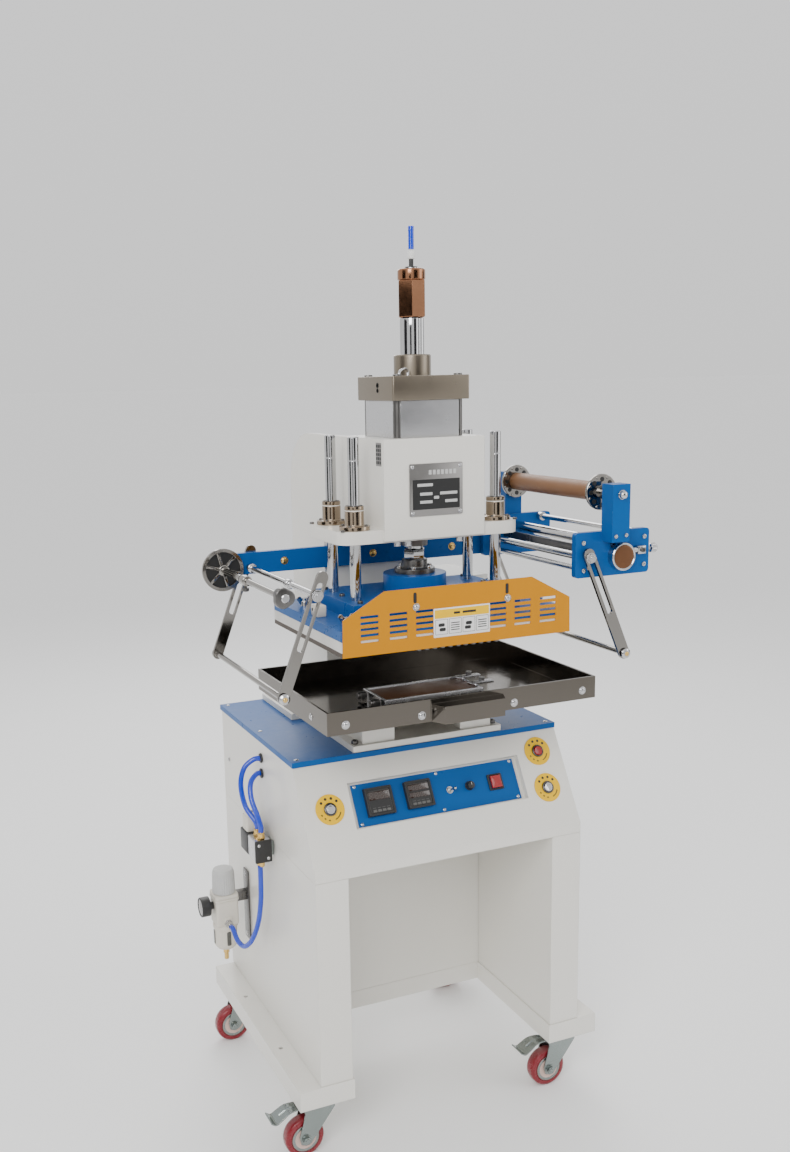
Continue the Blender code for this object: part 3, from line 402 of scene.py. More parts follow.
# %% Mould the plastics
BLACK = finish(
    "black_moulded_plastic", (0.018, 0.018, 0.018), 0.42, drift=0.25, drift_scale=30.0,
    grain_scale=1800.0, grain_height=0.00003, gloss_break=0.12, corner=0.0005, rubbing=0.3,
    rubbed_colour=(0.09, 0.09, 0.09), dust=0.08
)
GREY_PLASTIC = finish(
    "grey_moulded_plastic", (0.50, 0.50, 0.49), 0.45, drift=0.10, drift_scale=30.0, grain_scale=1500.0,
    grain_height=0.00003, gloss_break=0.10, corner=0.0005, rubbing=0.3, rubbed_colour=(0.65, 0.65, 0.65),
    dust=0.12
)
CREAM_PLASTIC = finish(
    "cream_cast_body", (0.66, 0.62, 0.54), 0.42, drift=0.12, drift_scale=30.0, grain_scale=900.0,
    grain_height=0.00005, gloss_break=0.12, corner=0.0008, rubbing=0.35, rubbed_colour=(0.45, 0.42, 0.36),
    dust=0.10
)
RED_PLASTIC = finish(
    "red_lit_plastic", (0.34, 0.003, 0.004), 0.22, coat=0.5, drift=0.20, drift_scale=60.0,
    grain_scale=900.0, grain_height=0.00001, corner=0.0006, rubbing=0.15, rubbed_colour=(0.7, 0.2, 0.15),
    dust=0.03, sockets={"Subsurface Weight": 0.15, "Subsurface Radius": (0.004, 0.001, 0.001)}
)
TREAD = finish(
    "red_polyurethane", (0.20, 0.002, 0.010), 0.28, coat=0.25, drift=0.25, drift_scale=40.0,
    grain_scale=500.0, grain_height=0.00004, gloss_break=0.25, corner=0.0008, rubbing=0.4,
    rubbed_colour=(0.5, 0.16, 0.16), dust=0.14,
    sockets={"Subsurface Weight": 0.12, "Subsurface Radius": (0.005, 0.001, 0.001)}
)
HOSE_BLUE = finish(
    "blue_air_hose", (0.0, 0.035, 0.50), 0.20, coat=0.4, drift=0.15, drift_scale=35.0, grain_scale=500.0,
    grain_height=0.00002, gloss_break=0.12, corner=0.0003, rubbing=0.1, rubbed_colour=(0.2, 0.3, 0.8),
    dust=0.05, sockets={"Subsurface Weight": 0.10, "Subsurface Radius": (0.001, 0.002, 0.006)}
)
RUBBER = finish(
    "black_cable_sheath", (0.012, 0.012, 0.012), 0.40, drift=0.3, drift_scale=40.0, grain_scale=900.0,
    grain_height=0.00003, gloss_break=0.15, corner=0.0003, rubbing=0.1, rubbed_colour=(0.06, 0.06, 0.06),
    dust=0.08
)
CARD = finish(
    "wound_card_core", (0.20, 0.090, 0.034), 0.50, drift=0.22, drift_scale=18.0,
    grain_stretch=(1, 0.12, 1), grain_scale=420.0, grain_height=0.00006, gloss_break=0.15, corner=0.0005,
    rubbing=0.2, rubbed_colour=(0.5, 0.35, 0.22), dust=0.03
)
# Black for print marks. The same black is also painted shade: discs and slabs of it stand for the dark
# insides of holes, ports, bores and slots, and fill the gaps behind the reel's spokes.
PRINT_AND_PAINTED_SHADE = finish(
    "black_print_and_painted_shade", (0.012, 0.012, 0.012), 0.45, drift=0.2, drift_scale=80.0, grain_scale=1500.0,
    grain_height=0.00001, corner=0.0002, rubbing=0.1, dust=0.02
)
WHITE_PRINT = finish(
    "white_print", (0.74, 0.74, 0.72), 0.45, drift=0.08, drift_scale=80.0, grain_scale=1500.0,
    grain_height=0.00001, corner=0.0002, rubbing=0.1, rubbed_colour=(0.5, 0.5, 0.5), dust=0.03
)
PALE_RING = finish(
    "pale_bonding_ring", (0.62, 0.44, 0.38), 0.45, drift=0.15, drift_scale=60.0, grain_scale=900.0,
    grain_height=0.00002, corner=0.0002, rubbing=0.1, dust=0.06
)
DISPLAY = finish(
    "smoked_display_window", (0.030, 0.014, 0.010), 0.10, coat=0.8, drift=0.3, drift_scale=60.0,
    grain_scale=900.0, grain_height=0.000004, corner=0.0004, rubbing=0.1, dust=0.05
)
BOWL = finish(
    "smoked_bowl_window", (0.10, 0.10, 0.09), 0.12, drift=0.05, drift_scale=40.0, grain_scale=300.0,
    grain_height=0.00002, corner=0.0004, rubbing=0.1, dust=0.03,
    sockets={"Transmission Weight": 0.25, "IOR": 1.5}
)
print(len(bpy.data.materials), "materials so far")

# %% [markdown]
# ## Shapes as functions
# Four families of surface make almost every piece. A turned piece is a profile of heights and radii
# swept round an axis. A slab is an outline with rounded edges. A tube is a circle carried along a path.
# A sheet is a grid of points with a thickness. Each one is worked out with whole arrays, and returns its
# points and faces, so several can be put in one piece.


# %% Frames and faces
# Printed marks are too thin for more than a few hundredths of a millimetre of rounding.
PRINT_EDGE, LABEL_EDGE = 0.00003, 0.00004


def facing(place, out, up=(0, 0, 1)):
    """A place with three axes: across, up and out. Across is up cross out, and up is squared to out."""
    out = np.array(out, float) / np.linalg.norm(out)
    across = np.cross(up, out)
    across /= np.linalg.norm(across)
    return np.array(place, float), np.stack([across, np.cross(out, across), out])


def front(x, z, y):
    return facing((x, y, z), (0, -1, 0))


def above(x, y, z):
    return facing((x, y, z), (0, 0, 1), (0, 1, 0))


def below(x, y, z):
    return facing((x, y, z), (0, 0, -1), (0, 1, 0))


def set_at(points, at):
    """Points given as across, up and out, moved to their place in the machine."""
    place, axes = at
    return np.asarray(points, float) @ axes + place


def ring_faces(rings, around, capped=True):
    """Quads that join each ring of points to the next, and a flat cap on each end."""
    ring, step = np.meshgrid(np.arange(rings - 1), np.arange(around), indexing="ij")
    after = (step + 1) % around
    quads = np.stack(
        [
            ring * around + step, ring * around + after, (ring + 1) * around + after,
            (ring + 1) * around + step
        ],
        -1
    )
    faces = quads.reshape(-1, 4).tolist()
    if capped:
        faces.append(list(range(around))[::-1])
        faces.append(list(range((rings - 1) * around, rings * around)))
    return faces


# %% Rounded profiles and outlines
def soften(points, radius, steps=4, closed=False):
    """Each corner becomes a short curve: a quadratic through the corner from a point just before it to one
    just after, never further away than two fifths of a side."""
    points = np.asarray(points, float)
    before = np.roll(points, 1, 0)
    after = np.roll(points, -1, 0)
    to_before, to_after = before - points, after - points
    long_before = np.linalg.norm(to_before, axis=1, keepdims=True)
    long_after = np.linalg.norm(to_after, axis=1, keepdims=True)
    start = points + to_before * np.minimum(radius / np.maximum(long_before, 1e-9), 0.4)
    end = points + to_after * np.minimum(radius / np.maximum(long_after, 1e-9), 0.4)
    t = np.linspace(0, 1, steps)[None, :, None]
    curve = (1 - t) ** 2 * start[:, None] + 2 * t * (1 - t) * points[:, None] + t**2 * end[:, None]
    if closed:
        return curve.reshape(-1, 2)
    middle = curve[1:-1].reshape(-1, 2)
    return np.concatenate([points[:1], middle, points[-1:]])


def rectangle(width, height, radius, middle=(0, 0), steps=6):
    """A rectangle with round corners, anticlockwise."""
    w, h = width / 2, height / 2
    corners = np.array([(w, -h), (w, h), (-w, h), (-w, -h)]) + middle
    return soften(corners, radius, steps, closed=True)


def circle(radius, middle=(0, 0), sides=40, start=0.0, sweep=2 * np.pi):
    angle = start + sweep * np.arange(sides) / sides
    return np.stack([np.cos(angle), np.sin(angle)], 1) * radius + middle


def arc_band(inner, outer, start, end, steps=14):
    """The outline of a curved bar between two angles in degrees."""
    angle = np.radians(np.linspace(start, end, steps))
    arc = np.stack([np.cos(angle), np.sin(angle)], 1)
    return np.concatenate([arc * outer, arc[::-1] * inner])


# %% Turned pieces, slabs and tubes
def turned(profile, at, sides=48, edge=0.0, facets=0, wave=None):
    """Heights and radii swept round the out axis. With facets the circle is a regular polygon: its radius
    is multiplied by cos(pi/n) / cos(angle from the middle of the side). wave multiplies it too."""
    profile = np.asarray(profile, float)
    if edge:
        profile = soften(profile, edge)
    angle = 2 * np.pi * np.arange(sides) / sides
    radius = np.repeat(profile[:, 1:], sides, 1)
    if facets:
        turn = 2 * np.pi / facets
        radius = radius * np.cos(turn / 2) / np.cos(angle % turn - turn / 2)
    if wave:
        radius = radius * wave(angle[None, :], profile[:, :1])
    height = np.repeat(profile[:, :1], sides, 1)
    points = np.stack([radius * np.cos(angle), radius * np.sin(angle), height], -1).reshape(-1, 3)
    return set_at(points, at), ring_faces(len(profile), sides)


def rod(radius, low, high, at, sides=48, edge=0.0, facets=0):
    """A plain bar between two heights, round or with facets."""
    return turned([(low, radius), (high, radius)], at, sides, edge, facets)


def slab(outline, low, high, at, edge=0.0004, steps=3, crown=0.0):
    """An outline stretched from low to high. Near each face it shrinks along a quarter circle, by moving
    every point along the mean of its two sides' normals. A crown lifts the top face's middle."""
    outline = np.asarray(outline, float)
    side = np.roll(outline, -1, 0) - outline
    normal = np.stack([side[:, 1], -side[:, 0]], 1)
    normal /= np.maximum(np.linalg.norm(normal, axis=1, keepdims=True), 1e-9)
    mean = normal + np.roll(normal, 1, 0)
    mean /= np.maximum((mean**2).sum(1, keepdims=True), 0.5) / 2
    quarter = np.linspace(0, np.pi / 2, steps)
    inset = np.concatenate([edge * (1 - np.sin(quarter)), edge * (1 - np.cos(quarter))])
    height = np.concatenate([low + edge * (1 - np.cos(quarter)), high - edge * (1 - np.sin(quarter))])
    rings = outline[None] - mean[None] * inset[:, None, None]
    if crown:
        middle = outline.mean(0)
        shrink = np.linspace(1, 0.05, 8)[1:]
        rings = np.concatenate([rings, middle + (rings[-1] - middle)[None] * shrink[:, None, None]])
        height = np.concatenate([height, high + crown * (1 - shrink**2)])
    points = np.concatenate([rings, np.repeat(height[:, None, None], len(outline), 1)], 2).reshape(-1, 3)
    return set_at(points, at), ring_faces(len(height), len(outline))


def smooth_path(points, count):
    """A cubic through the points: each slope is the chord between its neighbours (Catmull and Rom)."""
    points = np.asarray(points, float)
    slopes = np.gradient(points, axis=0)
    at = np.linspace(0, len(points) - 1, count)
    i = np.clip(at.astype(int), 0, len(points) - 2)
    t = (at - i)[:, None]
    return (
        (2 * t**3 - 3 * t**2 + 1) * points[i]
        + (t**3 - 2 * t**2 + t) * slopes[i]
        + (3 * t**2 - 2 * t**3) * points[i + 1]
        + (t**3 - t**2) * slopes[i + 1]
    )


def tube(path, radius, sides=20, reference=(0, 0, 1)):
    """A circle carried along a path. Its first axis starts across the reference. At every step it is the last
    one with its part along the path taken away, so the circle never twists."""
    path = np.asarray(path, float)
    along = np.gradient(path, axis=0)
    along /= np.linalg.norm(along, axis=1, keepdims=True)
    across = [np.cross(along[0], reference)]
    for direction in along:
        squared = across[-1] - direction * np.dot(across[-1], direction)
        across.append(squared / np.linalg.norm(squared))
    across = np.array(across[1:])
    other = np.cross(along, across)
    angle = 2 * np.pi * np.arange(sides) / sides
    radius = np.broadcast_to(radius, len(path))[:, None, None]
    cosine, sine = np.cos(angle)[None, :, None], np.sin(angle)[None, :, None]
    circle_points = across[:, None] * cosine + other[:, None] * sine
    points = (path[:, None] + radius * circle_points).reshape(-1, 3)
    return points, ring_faces(len(path), sides)


# %% Put shapes in a piece
def piece(name, shapes, material, body="machine", instead_of=()):
    """One object from several shapes: their points and faces are joined, turned to face out, shaded smooth
    except across corners over 32 degrees, and it rides on a body."""
    shapes = [shapes] if isinstance(shapes, tuple) else list(shapes)
    points, faces, count = [], [], 0
    for shape_points, shape_faces in shapes:
        points.append(shape_points)
        faces += [[count + corner for corner in face] for face in shape_faces]
        count += len(shape_points)
    mesh = bpy.data.meshes.new(name)
    mesh.from_pydata((np.concatenate(points) + ORIGIN).tolist(), [], faces)
    work = bmesh.new()
    work.from_mesh(mesh)
    bmesh.ops.remove_doubles(work, verts=work.verts, dist=1e-6)
    bmesh.ops.recalc_face_normals(work, faces=work.faces)
    work.to_mesh(mesh)
    work.free()
    mesh.shade_smooth()
    mesh.set_sharp_from_angle(angle=np.radians(32))
    mesh.materials.append(material)
    obj = link(bpy.data.objects.new(name, mesh))
    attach(obj, body)
    if instead_of:
        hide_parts(*([instead_of] if isinstance(instead_of, str) else instead_of))
    return obj


def cap_screw(at, radius=0.004, height=0.004):
    """A socket head screw: a turned head with a hexagonal hole, made by the same sweep with six facets."""
    rim = soften([(0.0, radius), (height, radius), (height, radius * 0.55)], radius * 0.22)
    points, faces = turned(rim, at, 36)
    faces.pop()
    hole = rod(radius * 0.55, height, height * 0.45, at, 36, 0, 6)
    bridge_points, bridge_faces = turned(
        [(height, radius * 0.56), (height - 1e-5, radius * 0.54)], at, 36
    )
    return [(points, faces), (hole[0], hole[1][:-2] + hole[1][-1:]), (bridge_points, bridge_faces[:-2])]


def dome_screw(at, radius=0.004, height=0.0025):
    """A pan head screw: a low dome on a thin washer, with a slot pressed across it."""
    washer = rod(radius * 1.25, -0.0002, 0.0006, at, 28, 0.0003)
    dome = [
        (0.0004, radius), (height * 0.45, radius), (height * 0.8, radius * 0.8), (height, radius * 0.45),
        (height, radius * 0.06)
    ]

    def cross(angle, level):
        return 1 - 0.22 * (level > height * 0.7) * (np.abs(np.sin(2 * angle)) < 0.35)

    return [washer, turned(dome, at, 32, radius * 0.15, wave=cross)]


print("shape helpers ready")

# %% [markdown]
# ## Repaint the solids that keep their shape
# Folded sheet, plates and brackets are already right as plain solids. They only need the right finish,
# and the finish rounds their corners. Their meshes are left alone.

# %% Give each kept solid its finish
KEPT = {
    IVORY: [
        "cabinet_housing", "rear_cover", "left_leg", "right_leg", "base_frame", "rear_wall",
        "press_column", "electrics_box", "head_block"
    ],
    BLUE: [
        "tabletop_plate", "control_panel", "platen_cover", "back_bar", "right_front_plate",
        "right_rear_plate"
    ],
    ORANGE: ["safety_guard"], BOARD: ["insulation_board"], IRON: ["heating_plate"],
    STAINLESS: ["work_tray"], NICKEL: ["left_swing_frame", "right_swing_frame"],
    ZINC: [f"{side}_{place}_castor_fork" for side in ("left", "right") for place in ("front", "rear")],
    BLACK: ["temperature_controller", "dwell_timer"]
}
for material, names in KEPT.items():
    for name in names:
        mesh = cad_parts[name].data
        mesh.materials.clear()
        mesh.materials.append(material)
print(sum(len(names) for names in KEPT.values()), "solids keep their shape")

# %% [markdown]
# ## Castors
# Each wheel is a red tread cast round a zinc-coloured hub, with a pale ring where the two meet. Both are
# turned shapes on the axle. The wheel rides on its own body, so it rolls, and the fork swivels above it.
# The front pair have a brake pedal: a pressed plate that curves down from the fork and flares at its lip.

# %% Wheels, axle nuts, races and bolts
WHEEL_RADIUS, CASTOR_TRAIL = 0.0375, 0.034
RACE_HEIGHT = 0.108
tread_profile = [
    (-0.0120, 0.0290), (-0.0118, 0.0335), (-0.0100, 0.0362), (-0.0060, 0.0373), (0.0, 0.0375)
]
tread_profile += [(-height, radius) for height, radius in reversed(tread_profile[:-1])]
hub_half = [
    (0.0122, 0.0253), (0.0127, 0.0245), (0.0127, 0.0205), (0.0108, 0.0190), (0.0108, 0.0120),
    (0.0135, 0.0105), (0.0135, 0.0040)
]
hub_profile = [(-height, radius) for height, radius in reversed(hub_half)] + hub_half


def castor(name, x, y):
    """The wheel's pieces turn about a level axle behind the fork's own upright axis."""
    axle = facing((x - CASTOR_TRAIL, y, WHEEL_RADIUS), (0, -1, 0))
    wheel = name + "_wheel"
    piece(
        f"{name}_tread", turned(tread_profile, axle, 72, 0.0008), TREAD, wheel,
        f"{name}_castor_wheel"
    )
    band = [(-0.0124, 0.0266), (-0.0124, 0.0252), (0.0124, 0.0252), (0.0124, 0.0266)]
    piece(f"{name}_pale_ring", turned(band, axle, 56, 0.0003), PALE_RING, wheel)
    piece(f"{name}_hub", turned(hub_profile, axle, 56, 0.0006), ZINC, wheel)
    nuts = []
    for side in (-1, 1):
        end = facing((x - CASTOR_TRAIL, y + side * 0.0170, WHEEL_RADIUS), (0, side, 0))
        nuts.append(rod(0.0095, 0, 0.0012, end, 32, 0.0003))
        nuts.append(rod(0.0078, 0.0010, 0.0060, end, 48, 0.0007, 6))
        nuts.append(rod(0.0042, 0.0050, 0.0078, end, 24, 0.0006))
    piece(f"{name}_axle_nuts", nuts, ZINC, name + "_castor")
    race = turned(
        [(-0.0048, 0.0262), (-0.0012, 0.0262), (-0.0004, 0.0250)], above(x, y, RACE_HEIGHT - 0.0004), 56,
        0.0006
    )
    piece(f"{name}_race", race, BRASS)
    bolts = []
    for dx in (-0.036, 0.036):
        for dy in (-0.024, 0.024):
            bolts.append(rod(0.0062, 0, 0.0038, below(x + dx, y + dy, RACE_HEIGHT), 36, 0.0006, 6))
    piece(f"{name}_plate_bolts", bolts, ZINC)


CASTOR_OUT, FRONT_AXIS, REAR_AXIS = 0.258, 0.040, 0.460
for side, sign in (("left", -1), ("right", 1)):
    castor(f"{side}_front", sign * CASTOR_OUT, FRONT_AXIS)
    castor(f"{side}_rear", sign * CASTOR_OUT, REAR_AXIS)
print("four castors")


# %% Brake pedals
def brake_pedal(name, x, y):
    """The pedal's side line is a smooth curve. It is thickened along its normal and stretched sideways,
    and it narrows at the root."""
    line = smooth_path(
        [
            (-0.041, 0.0972), (-0.052, 0.0985), (-0.066, 0.0965), (-0.080, 0.0885), (-0.090, 0.0835),
            (-0.0995, 0.0885)
        ],
        30
    )
    along = np.gradient(line, axis=0)
    normal = np.stack([-along[:, 1], along[:, 0]], 1) / np.linalg.norm(along, axis=1, keepdims=True)
    thick = 0.0011
    outline = np.concatenate([line + normal * thick, (line - normal * thick)[::-1]])
    half = np.concatenate(
        [np.interp(line[:, 0], [-0.0995, -0.075, -0.041], [0.0185, 0.0175, 0.0120])] * 2
    )
    half[len(line):] = half[: len(line)][::-1]
    rings = [
        np.stack([x + outline[:, 0], y + side * half, outline[:, 1]], 1)
        for side in (1, 0.96, 0, -0.96, -1)
    ]
    rib = smooth_path([(x - 0.050, y, 0.0990), (x - 0.066, y, 0.0968), (x - 0.080, y, 0.0895)], 12)
    shapes = [(np.concatenate(rings), ring_faces(5, len(outline))), tube(rib, 0.0028, 12, (0, 1, 0))]
    piece(f"{name}_pedal", shapes, ZINC, f"{name}_brake", f"{name}_brake_pedal")


brake_pedal("left_front", -CASTOR_OUT, FRONT_AXIS)
brake_pedal("right_front", CASTOR_OUT, FRONT_AXIS)
print("two brake pedals")

# %% [markdown]
# ## Control face
# The sloping face carries a blue panel in a shallow recess, two panel instruments, a toggle, a push knob,
# a lit rocker, and three push buttons on yellow legend plates. Everything is placed by how far across and
# how far up the slope it sits. Legends are plain marks and no words.

# %% Where things are on the slope
KNEE_HEIGHT, SLOPE_BACK, TABLE_UNDERSIDE = 0.5533, 0.095, 0.7153
slope_up = np.array([0, SLOPE_BACK, TABLE_UNDERSIDE - KNEE_HEIGHT])
slope_up /= np.linalg.norm(slope_up)
slope_out = np.array([0, -slope_up[2], slope_up[1]])
PANEL_DEPTH = 0.0095


def on_slope(x, up, depth=0.0):
    return facing(np.array([x, 0, KNEE_HEIGHT]) + slope_up * up - slope_out * depth, slope_out, slope_up)


def ring_slab(outer, inner, low, high, at, edge=0.0004):
    """A frame between two outlines with the same number of points, such as a bezel."""
    outer, inner = np.asarray(outer), np.asarray(inner)
    middle = outer.mean(0)
    smaller = middle + (outer - middle) * (1 - edge / np.abs(outer - middle).max())
    larger = middle + (inner - middle) * (1 + edge / np.abs(inner - middle).max())
    rings = [
        (outer, low), (outer, high - edge), (smaller, high), (larger, high), (inner, high - edge),
        (inner, low)
    ]
    points = np.concatenate(
        [np.column_stack([ring, np.full(len(ring), height)]) for ring, height in rings]
    )
    faces = ring_faces(len(rings), len(outer), capped=False)
    last = (len(rings) - 1) * len(outer)
    faces += [[last + i, last + (i + 1) % len(outer), (i + 1) % len(outer), i] for i in range(len(outer))]
    return set_at(points, at), faces


# %% Panel screws
panel_screws = []
for x in (-0.160, 0.004, 0.160):
    for up in (0.1385, 0.0705):
        panel_screws += dome_screw(on_slope(x, up, PANEL_DEPTH), 0.0024, 0.0014)
piece("panel_screws", panel_screws, CHROME)
print("six panel screws")


# %% Seven-segment displays
def segment_digit(x, y, height, lit=(0, 1, 2, 3, 4, 5, 6)):
    """Seven bars of one digit, as outlines: three level ones and four upright ones."""
    width, bar = height * 0.55, height * 0.11
    level = [(x, y + height / 2), (x, y), (x, y - height / 2)]
    sides = [
        (x - width / 2, y + height / 4), (x + width / 2, y + height / 4), (x - width / 2, y - height / 4),
        (x + width / 2, y - height / 4)
    ]
    bars = [rectangle(width * 0.8, bar, bar * 0.3, place, 2) for place in level]
    bars += [rectangle(bar, height * 0.38, bar * 0.3, place, 2) for place in sides]
    return [bars[i] for i in lit]


SEGMENTS = finish(
    "dim_display_segments", (0.085, 0.075, 0.065), 0.3, drift=0.3, drift_scale=150.0, grain_scale=900.0,
    grain_height=0.000004, corner=0.0001, rubbing=0.0, dust=0.0
)
KEY_LINE = finish(
    "grey_key_print", (0.10, 0.10, 0.095), 0.45, drift=0.2, drift_scale=150.0, grain_scale=900.0,
    grain_height=0.000004, corner=0.0001, rubbing=0.0, dust=0.05
)


def instrument(name, node, windows, digit_height):
    """A 48 mm panel instrument: a bezel, one or two smoked windows of unlit digits and a row of four keys."""
    low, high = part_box(node)
    x = (low.x + high.x) / 2 - ORIGIN[0]
    up = {"temperature_controller": 0.1060, "dwell_timer": 0.1065}[node]
    width = high.x - low.x
    face = on_slope(x, up, 0.0012)
    outer, inner = rectangle(width, 0.0500, 0.003), rectangle(width - 0.0075, 0.0425, 0.002)
    piece(f"{name}_bezel", ring_slab(outer, inner, -0.0002, 0.0022, face, 0.0007), BLACK)
    panes, bars = [], []
    for middle, height in windows:
        panes.append(slab(rectangle(width - 0.012, height, 0.0012, (0, middle)), 0, 0.0008, face, 0.0003))
        for column in range(4):
            place = (column - 1.5) * digit_height * 0.95
            for bar in segment_digit(place, middle, digit_height):
                bars.append(slab(bar, 0.0008, 0.00092, face, PRINT_EDGE, 2))
    piece(f"{name}_windows", panes, DISPLAY)
    piece(f"{name}_digits", bars, SEGMENTS)
    keys = [
        slab(rectangle(0.0072, 0.0048, 0.0012, (place, -0.0172)), 0, 0.0009, face, 0.0003, 3, 0.0003)
        for place in (-0.0135, -0.0045, 0.0045, 0.0135)
    ]
    piece(f"{name}_keys", keys, KEY_LINE)
    marks = [
        slab(rectangle(0.0060, 0.0008, 0.0002, (place, -0.0118), 2), 0, 0.00015, face, PRINT_EDGE, 2)
        for place in (-0.0135, -0.0045, 0.0045, 0.0135)
    ]
    rim = ring_slab(
        rectangle(width - 0.010, 0.0375, 0.0015), rectangle(width - 0.0108, 0.0367, 0.0012), 0, 0.0003,
        face, 0.0001
    )
    piece(f"{name}_marks", marks + [rim], KEY_LINE)


instrument("left_instrument", "temperature_controller", [(0.0098, 0.0150)], 0.0105)
instrument("right_instrument", "dwell_timer", [(0.0120, 0.0115), (-0.0015, 0.0095)], 0.0078)
print("two panel instruments")

# %% Toggle, knob and rocker
face = on_slope(0.0242, 0.1042, PANEL_DEPTH)
toggle_parts = [
    rod(0.0068, 0, 0.0008, face, 40, 0.0003), rod(0.0058, 0.0008, 0.0030, face, 48, 0.0006, 6)
]
toggle_parts.append(turned([(0.0028, 0.0034), (0.0050, 0.0032)], face, 32, 0.0003))
piece("toggle_nut", toggle_parts, CHROME)
bat_axis = slope_out * np.cos(0.42) + np.array([1, 0, 0]) * np.sin(0.42)
bat = facing(face[0] + slope_out * 0.0035, bat_axis, slope_up)
bat_profile = [
    (0, 0.0016), (0.006, 0.0020), (0.0105, 0.0029), (0.0128, 0.0027), (0.0142, 0.0016), (0.0147, 0.0005)
]
piece(
    "toggle_bat", turned(bat_profile, bat, 28, 0.0006), CHROME, "toggle",
    "toggle_lever"
)
knob = on_slope(0.065, 0.1055, PANEL_DEPTH)


def knob_ribs(angle, height):
    return 1 + 0.03 * np.sign(np.sin(12 * angle)) * (height > 0.0025) * (height < 0.0105)


knob_profile = [
    (0.0003, 0.0084), (0.0025, 0.0084), (0.0030, 0.0076), (0.0100, 0.0072), (0.0120, 0.0058),
    (0.0123, 0.0005)
]
piece(
    "dial_cap", turned(knob_profile, knob, 72, 0.0006, wave=knob_ribs), BLACK, "dial",
    "dial_knob"
)
pointer = slab(rectangle(0.0007, 0.0050, 0.0002, (0, 0.0026), 2), 0.0122, 0.0126, knob, 0.0001, 2)
piece("dial_pointer", pointer, WHITE_PRINT, "dial")
rocker_seat = on_slope(0.120, 0.1045, PANEL_DEPTH)
bezel = ring_slab(
    rectangle(0.0300, 0.0300, 0.0020), rectangle(0.0222, 0.0242, 0.0012), 0, 0.0034, rocker_seat, 0.0009
)
piece("rocker_bezel", bezel, BLACK)
rocker_shape = slab(rectangle(0.0208, 0.0228, 0.0008), 0.0022, 0.0062, rocker_seat, 0.0006, 3, -0.0009)
piece("lit_rocker", rocker_shape, RED_PLASTIC, "rocker", "power_rocker")
print("toggle, knob and rocker")

# %% Push buttons and their legend plates
BUTTONS = {
    "left_start": (-0.2175, 0.1053, CHROME, "polished_chrome", "left_start_button"),
    "right_start": (0.2205, 0.0760, CHROME, "polished_chrome", "right_start_button"),
    "emergency_stop": (0.2200, 0.1470, RED_PLASTIC, "red_plastic", "emergency_stop_button")
}
for name, (x, up, material, slot_name, node) in BUTTONS.items():
    seat = on_slope(x, up)
    plate = ring_slab(circle(0.0272, sides=72), circle(0.0114, sides=72), 0, 0.0016, seat, 0.0005)
    piece(f"{name}_legend", plate, LEGEND_YELLOW)
    dots = [0.0196 * np.array([np.cos(angle), np.sin(angle)]) for angle in np.radians([42, 74, 106, 138])]
    marks = [slab(circle(0.0025, dot, 20), 0.0016, 0.00175, seat, PRINT_EDGE, 2) for dot in dots]
    marks.append(slab(arc_band(0.0188, 0.0206, 288, 338, 16), 0.0016, 0.00175, seat, PRINT_EDGE, 2))
    marks += [
        slab(arc_band(0.0182, 0.0206, angle - 5, angle + 5, 4), 0.0016, 0.00175, seat, PRINT_EDGE, 2)
        for angle in (205, 230, 255)
    ]
    piece(f"{name}_marks", marks, PRINT_AND_PAINTED_SHADE)
    collar = [(0.0010, 0.0120), (0.0030, 0.0120), (0.0046, 0.0112), (0.0050, 0.0098)]
    collar_points, collar_faces = turned(collar, seat, 56, 0.0005)
    inner_wall = rod(0.0098, 0.0050, -0.0100, seat, 56)
    piece(
        f"{name}_collar", [(collar_points, collar_faces[:-2]), (inner_wall[0], inner_wall[1][:-2])], STEEL
    )
    cap = [
        (-0.012, 0.0069), (0.0008, 0.0069), (0.0010, 0.0088), (0.0048, 0.0088), (0.0060, 0.0076),
        (0.0054, 0.0045), (0.0051, 0.0004)
    ]
    piece(f"{name}_button", turned(cap, seat, 56, 0.0004), material, name, node)
print("three push buttons")

# %% [markdown]
# ## Fasteners on the sheet metal
# Screws are small, but they tell the eye how big everything is. Pan heads hold the tabletop and the tray,
# socket heads hold the castings. Each group is one piece made from many turned heads.

# %% Screws on the table, tray, flange and back bar
TABLE_TOP, BASE_TOP = 0.7253, 0.7373
table_screws = []
for x in (-0.258, 0.258):
    for y in (0.106, 0.300, 0.504):
        table_screws += dome_screw(above(x, y, TABLE_TOP), 0.0036, 0.0018)
piece("table_screws", table_screws, CHROME)
flange_screws = []
for x, y in (
    (-0.163, 0.356), (-0.163, 0.502), (0.140, 0.356), (-0.142, 0.112), (0.142, 0.112), (-0.142, 0.300),
    (0.142, 0.300)
):
    flange_screws += cap_screw(above(x, y, BASE_TOP), 0.0065, 0.0065)
piece("flange_screws", flange_screws, STEEL)
tray_screws = []
for x, z in ((-0.228, 0.8280), (-0.088, 0.8250), (0.092, 0.8240), (0.233, 0.8280)):
    tray_screws += dome_screw(front(x, z, -0.051), 0.0058, 0.0036)
for y in (0.02, 0.24):
    for side in (-1, 1):
        tray_screws += dome_screw(facing((side * 0.2608, y, 0.828), (side, 0, 0)), 0.0050, 0.0030)
piece("tray_screws", tray_screws, CHROME, "tray")
bar_screws = []
for x in (-0.186, 0.0, 0.176):
    bar_screws += dome_screw(front(x, 1.047, 0.330), 0.0062, 0.0034)
piece("back_bar_screws", bar_screws, BRASS)
print("screws on four parts")

# %% [markdown]
# ## Press head
# The head is a hollow steel box with two ears. Champagne-coloured guide bushings stand on the ears, and a
# hardened post slides in each. On top is the air cylinder: a drawn barrel between the head and a machined
# cap, pulled together by four tie rods. The spindle above it carries the copper nut that sets the stroke.

